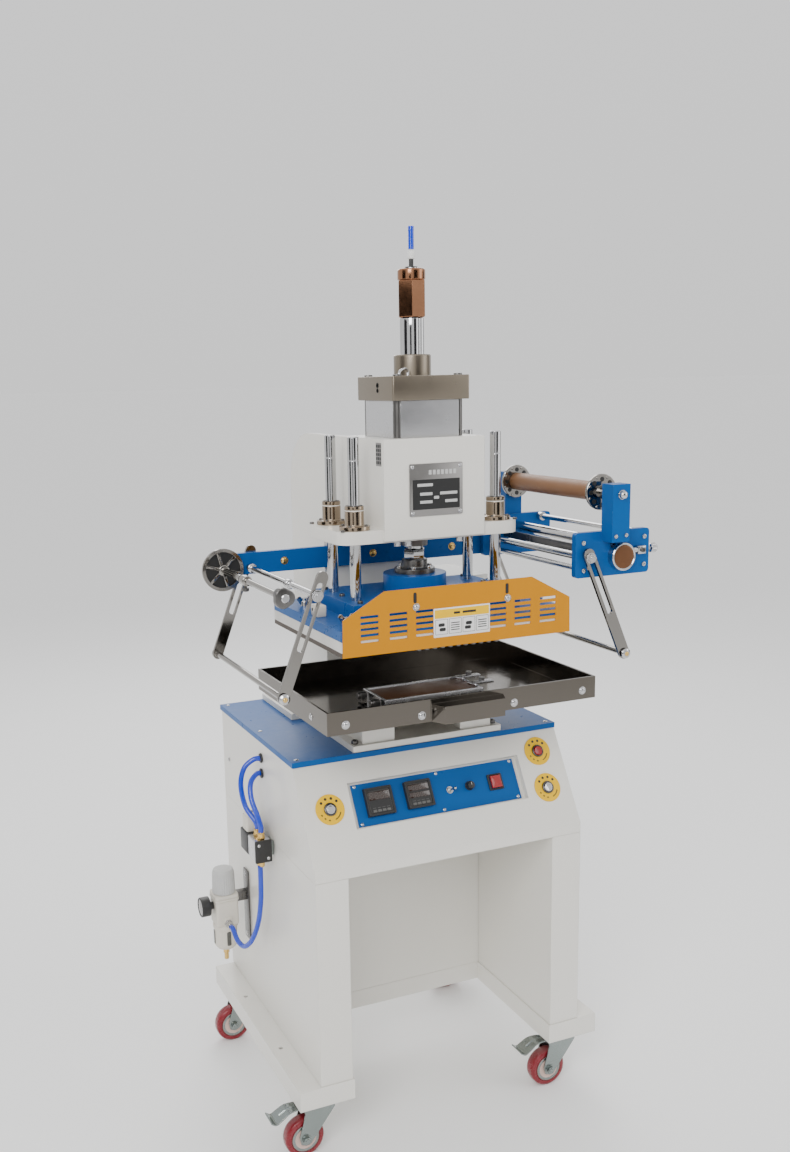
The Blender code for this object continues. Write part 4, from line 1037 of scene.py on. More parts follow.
# %% Guide bushings and posts
POSTS = {
    "left_front": (-0.140, 0.097), "left_rear": (-0.140, 0.200), "right_front": (0.140, 0.097),
    "right_rear": (0.140, 0.200)
}
EAR_TOP, CARRIER_TOP, POST_TOP = 1.1275, 1.0030, 1.2872
bushing_profile = [
    (0.0, 0.0270), (0.0072, 0.0270), (0.0074, 0.0185), (0.0090, 0.0168), (0.0330, 0.0168),
    (0.0334, 0.0160), (0.0348, 0.0160), (0.0352, 0.0168), (0.0418, 0.0168), (0.0420, 0.0112)
]
for name, (x, y) in POSTS.items():
    seat = above(x, y, EAR_TOP)
    points, faces = turned(bushing_profile, seat, 64, 0.0007)
    piece(f"{name}_bushing", (points, faces[:-1]), BUSHING)
    screws = []
    for angle in np.radians([45, 135, 225, 315]):
        screws += cap_screw(
            above(x + 0.0218 * np.cos(angle), y + 0.0218 * np.sin(angle), EAR_TOP + 0.0072), 0.0026,
            0.0026
        )
    piece(f"{name}_bushing_screws", screws, STEEL)
    wiper = turned([(0.0400, 0.0150), (0.0424, 0.0150), (0.0424, 0.0103), (0.0400, 0.0103)], seat, 48)
    piece(f"{name}_wiper", wiper, RUBBER)
    height = POST_TOP - CARRIER_TOP
    post = [
        (0.0003, 0.0080), (0.0060, 0.0080), (0.0065, 0.0100), (height * 0.855, 0.0100),
        (height * 0.856, 0.0097), (height * 0.859, 0.0097), (height * 0.860, 0.0100),
        (height - 0.0012, 0.0100), (height, 0.0088), (height, 0.0030)
    ]
    piece(
        f"{name}_post", turned(post, above(x, y, CARRIER_TOP), 48, 0.0003), CHROME, "press_head",
        f"{name}_guide_post"
    )
print("four bushings and posts")

# %% Nameplate with plain etched bars
PLATE_METAL = finish(
    "etched_nameplate", (0.30, 0.29, 0.28), 0.34, 0.85, drift=0.15, drift_scale=30.0,
    grain_stretch=(0.05, 1, 1), grain_scale=1500.0, grain_height=0.00001, corner=0.0004, rubbing=0.4,
    rubbed_colour=(0.6, 0.6, 0.6), dust=0.03
)
HEAD_FRONT, PLATE_X, PLATE_Z = 0.063, 0.0015, 1.1925
plate = front(PLATE_X, PLATE_Z, HEAD_FRONT)
piece("nameplate", slab(rectangle(0.1040, 0.0910, 0.0030), 0, 0.0016, plate, 0.0004), PLATE_METAL)
piece(
    "nameplate_field",
    slab(rectangle(0.0920, 0.0520, 0.0010, (0, -0.0080)), 0.0016, 0.00175, plate, LABEL_EDGE, 2), PRINT_AND_PAINTED_SHADE
)
bars = [
    slab(rectangle(width, 0.0050, 0.0006, place, 3), 0.00175, 0.0019, plate, LABEL_EDGE, 2)
    for width, place in (
        (0.024, (-0.020, -0.0070)), (0.034, (0.024, -0.0070)), (0.024, (-0.020, -0.0210)),
        (0.024, (0.029, -0.0210)), (0.030, (-0.022, 0.0085)), (0.010, (0.0, -0.0140))
    )
]
bars += [
    slab(rectangle(0.0055, 0.0080, 0.0008, (place, 0.0300), 3), 0.0016, 0.00175, plate, LABEL_EDGE, 2)
    for place in np.linspace(-0.012, 0.036, 7)
]
piece("nameplate_bars", bars, GREY_PLASTIC)
plate_screws = []
for x in (-0.0465, 0.0465):
    for z in (-0.0400, 0.0400):
        seat = front(PLATE_X + x, PLATE_Z + z, HEAD_FRONT - 0.0016)
        plate_screws += dome_screw(seat, 0.0030, 0.0018)
piece("nameplate_screws", plate_screws, CHROME)
side_label = facing((-0.0983, 0.083, 1.2560), (-1, 0, 0))
piece("head_label", slab(rectangle(0.0220, 0.0400, 0.0010), 0, 0.0003, side_label, 0.0001), PLATE_METAL)
blocks = []
for column in (-0.0070, 0.0, 0.0070):
    for row in (-0.0140, -0.0070, 0.0, 0.0070, 0.0140):
        blocks.append(
            slab(
                rectangle(0.0052, 0.0052, 0.0008, (column, row), 3), 0.0003, 0.0004, side_label,
                PRINT_EDGE, 2
            )
        )
piece("head_label_blocks", blocks, PRINT_AND_PAINTED_SHADE)
print("nameplate")

# %% Cylinder, cap and tie rods
RAM_Y, HEAD_TOP, CAP_BOTTOM, CAP_TOP, HUB_TOP = 0.147, 1.2819, 1.3459, 1.3875, 1.4240


def on_ram(z):
    return above(0, RAM_Y, z)


barrel_height = CAP_BOTTOM - HEAD_TOP
TIE_OFFSET, TIE_RADIUS, GAP = 0.0590, 0.0075, 0.0003


def grooved_square(half, centre, radius, steps=12):
    """A square with a round groove in place of each corner. The groove's arc starts and ends where its
    circle crosses the sides, at the arctangent of (half - centre) over the root of radius squared less
    that squared."""
    across = half - centre
    reach = np.sqrt(radius**2 - across**2)
    start, end = np.arctan2(-reach, across), np.arctan2(across, -reach) - 2 * np.pi
    angle = np.linspace(start, end, steps)
    corner = centre + radius * np.stack([np.cos(angle), np.sin(angle)], 1)
    quarter = np.array([[0, 1], [-1, 0]])
    return np.concatenate([corner @ np.linalg.matrix_power(quarter, turn) for turn in range(4)])


profile_square = grooved_square(TIE_OFFSET + TIE_RADIUS - 0.0001, TIE_OFFSET, TIE_RADIUS + GAP)
barrel = slab(profile_square, HEAD_TOP + GAP, CAP_BOTTOM - GAP, on_ram(0), 0.0004)
piece("drawn_barrel", barrel, ALUMINIUM, instead_of="cylinder_barrel")
cap_shapes = [
    slab(rectangle(0.1486, 0.1486, 0.0035), 0, CAP_TOP - CAP_BOTTOM, on_ram(CAP_BOTTOM), 0.0012, 4)
]
hub_height = HUB_TOP - CAP_TOP
cap_shapes.append(
    turned(
        [
            (-0.001, 0.0330), (hub_height - 0.0020, 0.0330), (hub_height, 0.0312), (hub_height, 0.0232),
            (hub_height - 0.010, 0.0226)
        ],
        on_ram(CAP_TOP), 72, 0.0005
    )
)
piece("machined_cap", cap_shapes, CHAMPAGNE, instead_of="cylinder_cap")
rods, nuts = [], []
for x in (-TIE_OFFSET, TIE_OFFSET):
    for y in (-TIE_OFFSET, TIE_OFFSET):
        rods.append(rod(TIE_RADIUS, 0.0004, barrel_height, above(x, RAM_Y + y, HEAD_TOP), 40, 0.0003))
        nuts += cap_screw(above(x, RAM_Y + y, CAP_TOP), 0.0075, 0.0030)
piece("tie_rods", rods, STEEL)
piece("tie_rod_screws", nuts, STEEL)
# The two ports are painted shade: black discs, slightly proud of the cap's side, stand for the dark port
# openings.
ports = []
for z, radius in ((1.3720, 0.0036), (1.3630, 0.0030)):
    side = facing((-0.0743, RAM_Y - 0.012, z), (-1, 0, 0))
    ports.append(
        turned(
            [(0.0, radius * 1.3), (0.0006, radius * 1.3), (0.0006, radius), (-0.004, radius)], side, 32,
            0.0002
        )
    )
piece("cap_port_shade", ports, PRINT_AND_PAINTED_SHADE)
bleed = smooth_path(
    [
        (-0.030, 0.105, CAP_TOP), (-0.030, 0.105, CAP_TOP + 0.008), (-0.038, 0.100, CAP_TOP + 0.012),
        (-0.050, 0.094, CAP_TOP + 0.008), (-0.054, 0.092, CAP_TOP)
    ],
    30
)
piece("cap_bleed_pipe", tube(bleed, 0.0022, 14, (1, 1, 0)), CHROME)
print("cylinder and cap")

# %% Spindle, copper nut, ram and coupling
NUT_BOTTOM, NUT_TOP, FLANGE_BASE = 1.4869, 1.5697, 1.0354


def three_flutes(angle, height):
    """The spindle is three bright lands with dark flutes between: the radius dips by a bell curve in
    three narrow places, over the fluted stretch of its height only."""
    across = (angle * 3 / (2 * np.pi) + 0.08) % 1 - 0.5
    fluted = (height > 0.34) * (height < 0.452)
    return 1 - 0.16 * np.exp(-(across / 0.12) ** 2) * fluted


ram = [
    (0.0, 0.0165), (0.2700, 0.0165), (0.2830, 0.0215), (0.330, 0.0215), (0.342, 0.0215), (0.380, 0.0215),
    (0.430, 0.0215), (0.450, 0.0215), (0.4510, 0.0150), (0.5355, 0.0140)
]
piece(
    "ram_and_spindle", turned(ram, on_ram(1.0360), 96, 0.0004, wave=three_flutes), CHROME, "press_head",
    "piston_rod"
)
nut_height = NUT_TOP - NUT_BOTTOM
hexagon = [(0.0, 0.0225), (0.0018, 0.0262), (nut_height - 0.0200, 0.0262), (nut_height - 0.0185, 0.0238)]
nut_at = facing((0, RAM_Y, NUT_BOTTOM), (0, 0, 1), (-0.1, 1, 0))
ring = [
    (nut_height - 0.0190, 0.0215), (nut_height - 0.0180, 0.0245), (nut_height - 0.0020, 0.0245),
    (nut_height, 0.0230), (nut_height, 0.0080)
]
nut_shapes = [turned(hexagon, nut_at, 96, 0.0008, 6), turned(ring, nut_at, 72, 0.0007)]
piece("copper_stroke_nut", nut_shapes, COPPER, "nut", "stroke_nut")
stem = [(0.0, 0.0110), (0.0035, 0.0110), (0.0040, 0.0040), (0.0165, 0.0040)]
piece("spindle_stem", turned(stem, on_ram(1.5700), 48, 0.0004), BLACK, "press_head")
fitting = [(0.0, 0.0048), (0.0012, 0.0062), (0.0100, 0.0062), (0.0125, 0.0056), (0.0140, 0.0053)]
piece("stem_fitting", turned(fitting, on_ram(1.5865), 40, 0.0006), WHITE_PRINT, "press_head")
plug = [
    (0.0, 0.0050), (0.0310, 0.0050), (0.0315, 0.0052), (0.0385, 0.0052), (0.0390, 0.0040),
    (0.0390, 0.0005)
]
piece(
    "blanking_plug", turned(plug, on_ram(1.6028), 40, 0.0005), HOSE_BLUE, "press_head",
    "top_port_plug"
)
flange = [
    (0.0, 0.0370), (0.0085, 0.0370), (0.0090, 0.0362), (0.0090, 0.0250), (0.0120, 0.0235),
    (0.0240, 0.0235), (0.0250, 0.0170)
]
piece("ram_flange", turned(flange, on_ram(FLANGE_BASE), 64, 0.0005), STEEL, "press_head")
coupling = turned(
    [(0.0245, 0.0195), (0.0300, 0.0205), (0.0420, 0.0205), (0.0450, 0.0180)], on_ram(FLANGE_BASE), 72,
    0.0006, 6
)
piece("ram_coupling", coupling, CHROME, "press_head")
flange_ring = []
for angle in np.radians(np.arange(0, 360, 60)):
    seat = above(0.0308 * np.cos(angle), RAM_Y + 0.0308 * np.sin(angle), 1.0444)
    flange_ring += cap_screw(seat, 0.0042, 0.0042)
piece("ram_flange_screws", flange_ring, CHROME, "press_head")
skirt = [(0.0, 0.0400), (0.0060, 0.0400), (0.0065, 0.0250), (0.0220, 0.0240)]
points, faces = turned(skirt, below(0, RAM_Y, 1.1073), 64, 0.0005)
piece("ram_gland", (points, faces[:-1]), STEEL)
hanging = []
for x, y in (
    (-0.062, 0.090), (-0.046, 0.080), (0.062, 0.090), (0.078, 0.120), (-0.062, 0.200), (0.062, 0.200)
):
    hanging += cap_screw(below(x, y, 1.1045), 0.0062, 0.0110)
piece("head_underside_screws", hanging, CHROME)
print("spindle, nut and ram")

# %% [markdown]
# ## Foil units
# The foil runs from a wound core on the right, over chrome rods, under the head and onto the shaft on the
# left. A slotted frame on each side swings to take up slack. Rods and rollers are ground bar, so they are
# turned shapes with a mirror finish. The spool's flanges are drilled discs and its core is wound card.


# %% Axes that run front to back
def level(x, z):
    """Heights along this axis are the machine's y."""
    return facing((x, 0, z), (0, 1, 0))


def bar(x, z, start, end, radius, sides=40):
    return turned(
        [
            (start, radius - 0.0006), (start + 0.0006, radius), (end - 0.0006, radius),
            (end, radius - 0.0006)
        ],
        level(x, z), sides
    )


def hex_nut(x, z, y, radius, height):
    """A nut whose face is at y - height, towards the front, with its stud standing a little proud."""
    at = front(x, z, y)
    return [
        rod(radius * 1.2, 0, 0.0008, at, 36, 0.0002),
        rod(radius, 0.0008, height, at, 48, radius * 0.12, 6),
        rod(radius * 0.5, height * 0.8, height * 1.25, at, 28, radius * 0.1)
    ]


# %% Left unwind shaft
UNWIND_X, UNWIND_Z = -0.311, 1.040
unwind_axis = level(UNWIND_X, UNWIND_Z)
rim = ring_slab(circle(0.0400, sides=80), circle(0.0335, sides=80), 0.3215, 0.3278, unwind_axis, 0.0008)
spokes = []
for angle in np.radians(np.arange(15, 375, 60)):
    turn = np.array([[np.cos(angle), np.sin(angle)], [-np.sin(angle), np.cos(angle)]])
    spokes.append(
        slab(rectangle(0.0280, 0.0060, 0.0010, (0.0210, 0)) @ turn, 0.3222, 0.3270, unwind_axis, 0.0006)
    )
hub = turned(
    [(0.3140, 0.0080), (0.3150, 0.0105), (0.3300, 0.0105), (0.3300, 0.0060)], unwind_axis, 48, 0.0004
)
shaft = turned([(0.0040, 0.0055), (0.1860, 0.0055), (0.1865, 0.0062), (0.3300, 0.0062)], unwind_axis, 40)
collar = turned(
    [(0.1800, 0.0070), (0.1810, 0.0092), (0.2050, 0.0092), (0.2060, 0.0070)], unwind_axis, 48, 0.0006
)
piece(
    "unwind_reel", [rim, *spokes, hub, shaft, collar], NICKEL, "unwind",
    "left_unwind_shaft"
)
# Painted shade: a black disc behind the spokes darkens the gaps between them.
piece("unwind_reel_spoke_shade", rod(0.0370, 0.3262, 0.3280, unwind_axis, 72, 0.0004), PRINT_AND_PAINTED_SHADE, "unwind")
thumb = facing((UNWIND_X, 0.1930, UNWIND_Z - 0.008), (0, 0, -1), (0, 1, 0))
thumb_screw = turned(
    [(0, 0.0028), (0.0050, 0.0028), (0.0055, 0.0062), (0.0110, 0.0062), (0.0120, 0.0050)], thumb, 36,
    0.0005, wave=lambda angle, height: 1 + 0.05 * np.sin(16 * angle) * (height > 0.0055)
)
piece("unwind_collar_screw", thumb_screw, STEEL, "unwind")


def three_lobes(angle, height):
    return 1 - 0.13 * (0.5 + 0.5 * np.cos(3 * angle)) ** 2


lobed = turned(
    [(-0.0100, 0.0150), (-0.0092, 0.0178), (0.0040, 0.0180), (0.0060, 0.0160), (0.0062, 0.0060)],
    unwind_axis, 96, 0.0012, wave=three_lobes
)
piece("unwind_knob", lobed, STEEL, "unwind")
knob_end = turned([(-0.0135, 0.0060), (-0.0125, 0.0075), (-0.0100, 0.0075)], unwind_axis, 48, 0.0006)
piece("unwind_knob_end", knob_end, CHROME, "unwind")
print("unwind shaft")

# %% Left guide rod and swing frame ends
LEFT_PIVOT_X, LEFT_PIVOT_Z = -0.2585, 1.0410
guide = [
    bar(LEFT_PIVOT_X, LEFT_PIVOT_Z, -0.0245, 0.3297, 0.0054),
    bar(LEFT_PIVOT_X, LEFT_PIVOT_Z, 0.3418, 0.3525, 0.0054)
]
for y in (0.1050, 0.3050):
    guide.append(
        turned(
            [(y, 0.0070), (y + 0.001, 0.0088), (y + 0.012, 0.0088), (y + 0.013, 0.0070)],
            level(LEFT_PIVOT_X, LEFT_PIVOT_Z), 40, 0.0005
        )
    )
piece("left_guide_rod", guide, CHROME)
piece("left_guide_cap", hex_nut(LEFT_PIVOT_X, LEFT_PIVOT_Z, -0.0190, 0.0085, 0.0060), CHROME)
FRAMES = {"left": (-0.3220, 0.8760, -0.0200, 0.3505), "right": (0.3447, 0.8780, -0.0240, 0.3510)}
for name, (x, z, start, end) in FRAMES.items():
    ends = [
        turned(
            [(0, 0.0095), (0.0030, 0.0095), (0.0052, 0.0062)], facing((x, start, z), (0, -1, 0)), 40,
            0.0008
        ),
        turned(
            [(0, 0.0095), (0.0030, 0.0095), (0.0052, 0.0062)], facing((x, end, z), (0, 1, 0)), 40, 0.0008
        )
    ]
    piece(f"{name}_swing_rod_ends", ends, CHROME, f"{name}_dancer")
    piece(
        f"{name}_swing_rod_screw", dome_screw(front(x, z, start - 0.0050), 0.0034, 0.0020), BRASS,
        f"{name}_dancer"
    )
print("swing frame fittings")

# %% Right rods and plates
PLATE_FRONT, PLATE_INNER, REAR_PLATE = -0.010, 0.0024, 0.3176
right_bars = [
    bar(x, z, PLATE_INNER, REAR_PLATE, 0.0054)
    for x, z in ((0.3770, 1.0970), (0.2680, 1.0360), (0.2666, 1.0610))
]
right_bars.append(bar(0.2666, 1.0610, 0.3418, 0.3545, 0.0054))
for x, z in ((0.3770, 1.0970), (0.2680, 1.0360)):
    for y in (PLATE_INNER, REAR_PLATE - 0.012):
        right_bars.append(rod(0.0085, y, y + 0.012, level(x, z), 40, 0.0008))
piece("right_cross_bars", right_bars, CHROME)
flat = slab(
    rectangle(0.0050, 0.0286, 0.0008, (-0.2930, 1.0600)), PLATE_INNER, REAR_PLATE,
    facing((0, 0, 0), (0, 1, 0)), 0.0004
)
piece("right_flat_bar", flat, STEEL)
friction = front(0.3365, 1.0581, PLATE_FRONT)
piece(
    "friction_ring",
    ring_slab(circle(0.0252, sides=80), circle(0.0212, sides=80), 0, 0.0162, friction, 0.0012), CHROME
)
piece("friction_pad", slab(circle(0.0214, sides=72), 0.0120, 0.0156, friction, 0.0008, 3, 0.0004), BROWN)
fixings = []
for x, z in ((0.2580, 1.0870), (0.2590, 1.0370), (0.3900, 1.0900), (0.3900, 1.0390)):
    fixings += cap_screw(front(x, z, PLATE_FRONT), 0.0042, 0.0030)
for x, z in ((0.3050, 1.0990), (0.3270, 1.1000)):
    fixings += cap_screw(front(x, z, -0.0412), 0.0036, 0.0024)
piece("right_plate_screws", fixings, CHROME)
piece("right_pivot_nut", hex_nut(0.2666, 1.0610, -0.0224, 0.0082, 0.0065), CHROME)
clamp = [
    slab(rectangle(0.0180, 0.0150, 0.0020, (0, 0)), 0, 0.0120, front(0.3780, 1.0672, PLATE_FRONT), 0.0012)
]
clamp.append(
    rod(0.0052, 0, 0.0100, facing((0.3620, PLATE_FRONT - 0.0060, 1.0672), (1, 0, 0)), 32, 0.0006)
)
piece("drag_clamp", clamp, CHROME)
piece("drag_clamp_screw", cap_screw(front(0.3790, 1.0672, PLATE_FRONT - 0.0120), 0.0046, 0.0036), STEEL)
knob_axis = facing((0.4023, -0.004, 1.0662), (1, 0, 0))


def knurl(angle, height):
    return 1 + 0.035 * np.sin(24 * angle) * (height > 0.0075) * (height < 0.0175)


drag_knob = [
    (0, 0.0034), (0.0055, 0.0034), (0.0060, 0.0080), (0.0075, 0.0087), (0.0175, 0.0087), (0.0198, 0.0072),
    (0.0200, 0.0010)
]
piece(
    "drag_knob", turned(drag_knob, knob_axis, 96, 0.0006, wave=knurl), CHROME, "tension",
    "tension_knob"
)
print("right plates and rods")

# %% Feed roller and foil spool
ROLLER_X, ROLLER_Z, SPOOL_X, SPOOL_Z = 0.3215, 1.0800, 0.3170, 1.1725
roller = [
    (-0.0085, 0.0046), (0.0050, 0.0050), (0.0055, 0.0104), (0.0070, 0.0110), (0.3150, 0.0110),
    (0.3165, 0.0104), (0.3170, 0.0050), (0.3315, 0.0046)
]
piece(
    "chrome_feed_roller", turned(roller, level(ROLLER_X, ROLLER_Z), 64, 0.0003), CHROME, "roller",
    "feed_roller"
)
spool_axis = level(SPOOL_X, SPOOL_Z)
core = [
    (0.0250, 0.0150), (0.0252, 0.0168), (0.0270, 0.0172), (0.1700, 0.0176), (0.3090, 0.0172),
    (0.3108, 0.0168), (0.3110, 0.0150)
]
piece("wound_core", turned(core, spool_axis, 72, 0.0003), CARD, "spool", "foil_spool")
metal, dark, studs = [], [], []
metal.append(turned([(-0.0490, 0.0050), (-0.0484, 0.0058), (0.0010, 0.0058)], spool_axis, 40))
metal.append(turned([(0.3210, 0.0058), (0.3594, 0.0058), (0.3600, 0.0050)], spool_axis, 40))
for face, outer, sign in ((0.0190, 0.0010, 1), (0.3170, 0.3215, -1)):
    disc = [
        (face, 0.0120), (face, 0.0318), (face + sign * 0.0012, 0.0330), (face + sign * 0.0050, 0.0330),
        (face + sign * 0.0060, 0.0318), (face + sign * 0.0060, 0.0160)
    ]
    metal.append(turned(disc, spool_axis, 80, 0.0003))
    metal.append(
        turned(
            [
                (outer, 0.0100), (outer + sign * 0.0010, 0.0122), (face, 0.0122),
                (face + sign * 0.0010, 0.0150)
            ],
            spool_axis, 56, 0.0005
        )
    )
    for angle in np.radians(np.arange(0, 360, 45)):
        x, z = SPOOL_X + 0.0235 * np.cos(angle), SPOOL_Z + 0.0235 * np.sin(angle)
        # Painted shade: black discs on both faces of each flange stand for the dark insides of the drilled
        # holes.
        for out, y in ((-1, min(face, face + sign * 0.006)), (1, max(face, face + sign * 0.006))):
            dark.append(rod(0.0044, -0.0004, 0.00035, facing((x, y, z), (0, out, 0)), 24))
        x, z = SPOOL_X + 0.0282 * np.cos(angle + 0.39), SPOOL_Z + 0.0282 * np.sin(angle + 0.39)
        for out, y in ((-1, min(face, face + sign * 0.006)), (1, max(face, face + sign * 0.006))):
            studs.append(
                turned(
                    [(-0.0002, 0.0024), (0.0010, 0.0024), (0.0016, 0.0016)],
                    facing((x, y, z), (0, out, 0)), 20, 0.0003
                )
            )
piece("spool_flanges", metal + studs, NICKEL, "spool")
# The drilled holes are painted shade, black discs on the solid flanges.
piece("spool_flange_hole_shade", dark, PRINT_AND_PAINTED_SHADE, "spool")
piece(
    "spool_end_nut",
    [
        rod(0.0085, 0, 0.0010, front(SPOOL_X, SPOOL_Z, -0.0414), 40, 0.0003),
        turned(
            [(0.0010, 0.0074), (0.0060, 0.0074), (0.0088, 0.0052), (0.0100, 0.0022)],
            front(SPOOL_X, SPOOL_Z, -0.0414), 48, 0.0012
        )
    ],
    CHROME, "spool"
)
print("feed roller and spool")

# %% [markdown]
# ## Air preparation and valve
# A filter regulator sits on a wall bracket: a die-cast cream body, a knob above to set pressure, a bowl below
# with sight windows and a brass drain, and a black gauge on the side. Its outlet hose rises to a solenoid
# valve, and two hoses from the valve enter the cabinet. Bodies are rounded blocks and turned shapes.

# %% Filter regulator
REG_X, REG_Y, WALL_X = -0.322, 0.378, -0.2713
reg = above(REG_X, REG_Y, 0)
body = [
    slab(rectangle(0.0470, 0.0470, 0.0070), 0.3120, 0.3640, reg, 0.0020),
    slab(rectangle(0.0500, 0.0500, 0.0080), 0.3640, 0.3690, reg, 0.0012),
    slab(rectangle(0.0490, 0.0490, 0.0080), 0.3690, 0.3765, reg, 0.0015)
]
bowl = [
    (0.2575, 0.0100), (0.2580, 0.0175), (0.2640, 0.0222), (0.2700, 0.0235), (0.3020, 0.0235),
    (0.3030, 0.0250), (0.3110, 0.0250), (0.3130, 0.0220)
]


def bowl_ribs(angle, height):
    return 1 + 0.02 * (np.abs(np.sin(2 * angle)) > 0.92) * (height > 0.27) * (height < 0.302)


body.append(turned(bowl, reg, 96, 0.0012, wave=bowl_ribs))
body.append(slab(rectangle(0.0150, 0.0500, 0.0020), 0.318, 0.330, reg, 0.0010))
piece("filter_body", body, CREAM_PLASTIC, instead_of="filter_regulator")
windows = []
for out in ((0, -1, 0), (-1, 0, 0), (0, 1, 0)):
    place = np.array([REG_X, REG_Y, 0.2840]) + np.array(out) * 0.0230
    windows.append(slab(rectangle(0.0085, 0.0300, 0.0030), -0.0010, 0.0012, facing(place, out), 0.0004))
piece("bowl_windows", windows, BOWL)
piece(
    "bowl_drain",
    turned(
        [
            (0.2300, 0.0030), (0.2310, 0.0046), (0.2440, 0.0046), (0.2450, 0.0062), (0.2560, 0.0062),
            (0.2585, 0.0040)
        ],
        reg, 40, 0.0005
    ),
    BRASS
)


def cap_ribs(angle, height):
    return 1 + 0.022 * np.sin(30 * angle) * (height > 0.379) * (height < 0.419)


cap = [
    (0.3768, 0.0200), (0.3772, 0.0228), (0.3788, 0.0228), (0.4195, 0.0218), (0.4215, 0.0214),
    (0.4262, 0.0196), (0.4268, 0.0160), (0.4262, 0.0120), (0.4268, 0.0100), (0.4268, 0.0008)
]
piece(
    "pressure_cap", turned(cap, reg, 120, 0.0008, wave=cap_ribs), GREY_PLASTIC, "regulator_cap",
    "regulator_knob"
)
filter_screws = []
for x in (-0.0180, 0.0180):
    for y in (-0.0180, 0.0180):
        filter_screws += cap_screw(below(REG_X + x, REG_Y + y, 0.3640), 0.0028, 0.0030)
piece("filter_screws", filter_screws, STEEL)
gauge = facing((REG_X - 0.0235, REG_Y, 0.352), (-1, 0, 0))
piece(
    "gauge_case",
    [
        turned(
            [
                (0, 0.0075), (0.0080, 0.0075), (0.0085, 0.0190), (0.0100, 0.0198), (0.0262, 0.0198),
                (0.0272, 0.0188), (0.0272, 0.0172), (0.0258, 0.0168)
            ],
            gauge, 64, 0.0005
        )
    ],
    BLACK
)
piece("gauge_glass", slab(circle(0.0170, sides=56), 0.0250, 0.0261, gauge, 0.0003, 3, 0.0006), DISPLAY)
ticks = [
    slab(arc_band(0.0125, 0.0148, angle - 2, angle + 2, 3), 0.0263, 0.0264, gauge, PRINT_EDGE, 2)
    for angle in range(-45, 226, 30)
]
ticks.append(slab(rectangle(0.0014, 0.0120, 0.0005, (0, 0.0050), 3), 0.0268, 0.0270, gauge, 0.00005, 2))
piece("gauge_scale", ticks, WHITE_PRINT)
elbow = facing((REG_X, REG_Y - 0.0230, 0.318), (0, -1, 0))
piece(
    "outlet_elbow",
    [
        rod(0.0088, 0, 0.0050, elbow, 48, 0.0008, 6),
        turned(
            [(0.0050, 0.0070), (0.0170, 0.0070), (0.0185, 0.0062), (0.0185, 0.0050)], elbow, 40, 0.0006
        )
    ],
    CHROME
)
bracket = [
    slab(
        rectangle(0.0300, 0.1500, 0.0060, (0, 0)), 0, 0.0026,
        facing((WALL_X, REG_Y + 0.005, 0.3385), (-1, 0, 0)), 0.0008
    )
]
bracket.append(
    slab(
        rectangle(0.0160, 0.0200, 0.0020), 0, 0.0290, facing((WALL_X, REG_Y + 0.004, 0.361), (-1, 0, 0)),
        0.0008
    )
)
piece("wall_bracket", bracket, STEEL)
bracket_screws = []
for z in (0.2750, 0.4030):
    bracket_screws += dome_screw(facing((WALL_X - 0.0026, REG_Y + 0.005, z), (-1, 0, 0)), 0.0042, 0.0026)
piece("wall_bracket_screws", bracket_screws, CHROME)
print("filter regulator")

# %% Solenoid valve
VALVE_X = -0.295
valve = front(VALVE_X, 0.526, 0)
piece(
    "valve_body", slab(rectangle(0.0310, 0.0410, 0.0020), -0.2400, -0.1990, valve, 0.0010), ALUMINIUM,
    instead_of="solenoid_valve"
)
piece("valve_end_plate", slab(rectangle(0.0330, 0.0440, 0.0030), -0.1988, -0.1950, valve, 0.0010), BLACK)
end_screws = []
for dx, z in ((-0.009, 0.539), (0.009, 0.512)):
    end_screws += dome_screw(front(VALVE_X + dx, z, 0.1950), 0.0024, 0.0015)
piece("valve_end_screws", end_screws, CHROME)
coil = [
    slab(rectangle(0.0300, 0.0420, 0.0030, (0, -0.0015)), -0.2880, -0.2460, valve, 0.0016),
    slab(rectangle(0.0270, 0.0370, 0.0020), -0.2465, -0.2395, valve, 0.0008)
]
piece("valve_coil", coil, BLACK)
connector = [
    slab(rectangle(0.0260, 0.0290, 0.0040), 0.5460, 0.5760, above(VALVE_X, 0.2650, 0), 0.0016),
    slab(rectangle(0.0230, 0.0180, 0.0030), 0.5740, 0.5830, above(VALVE_X, 0.2620, 0), 0.0020)
]
piece("valve_connector", connector, CREAM_PLASTIC)
piece("valve_connector_screw", dome_screw(above(VALVE_X, 0.2600, 0.5830), 0.0030, 0.0018), STEEL)
gland = facing((VALVE_X, 0.2790, 0.5600), (0, 1, 0))
piece(
    "valve_cable_gland",
    [
        rod(0.0080, 0, 0.0060, gland, 48, 0.0008, 6),
        turned([(0.0060, 0.0064), (0.0110, 0.0056)], gland, 36, 0.0006)
    ],
    BLACK
)
fittings = []
for y, out, z in ((0.2080, 1, 0.5460), (0.2290, 1, 0.5460), (0.2200, -1, 0.5060)):
    at = facing((VALVE_X, y, z), (0, 0, out), (0, 1, 0))
    fittings.append(rod(0.0078, 0, 0.0050, at, 48, 0.0006, 6))
    fittings.append(
        turned([(0.0050, 0.0066), (0.0120, 0.0066), (0.0145, 0.0060), (0.0145, 0.0051)], at, 40, 0.0005)
    )
piece("valve_fittings", fittings, BRASS)
silencer = turned(
    [(0, 0.0050), (0.0110, 0.0050), (0.0130, 0.0036)],
    facing((VALVE_X, 0.2070, 0.5055), (0, 0, -1), (0, 1, 0)), 32, 0.0006
)
piece("valve_silencer", silencer, BRASS)
seat = slab(
    rectangle(0.0260, 0.0280, 0.0020), 0, 0.0090, facing((WALL_X, 0.2185, 0.526), (-1, 0, 0)), 0.0008
)
piece("valve_seat", seat, ZINC)
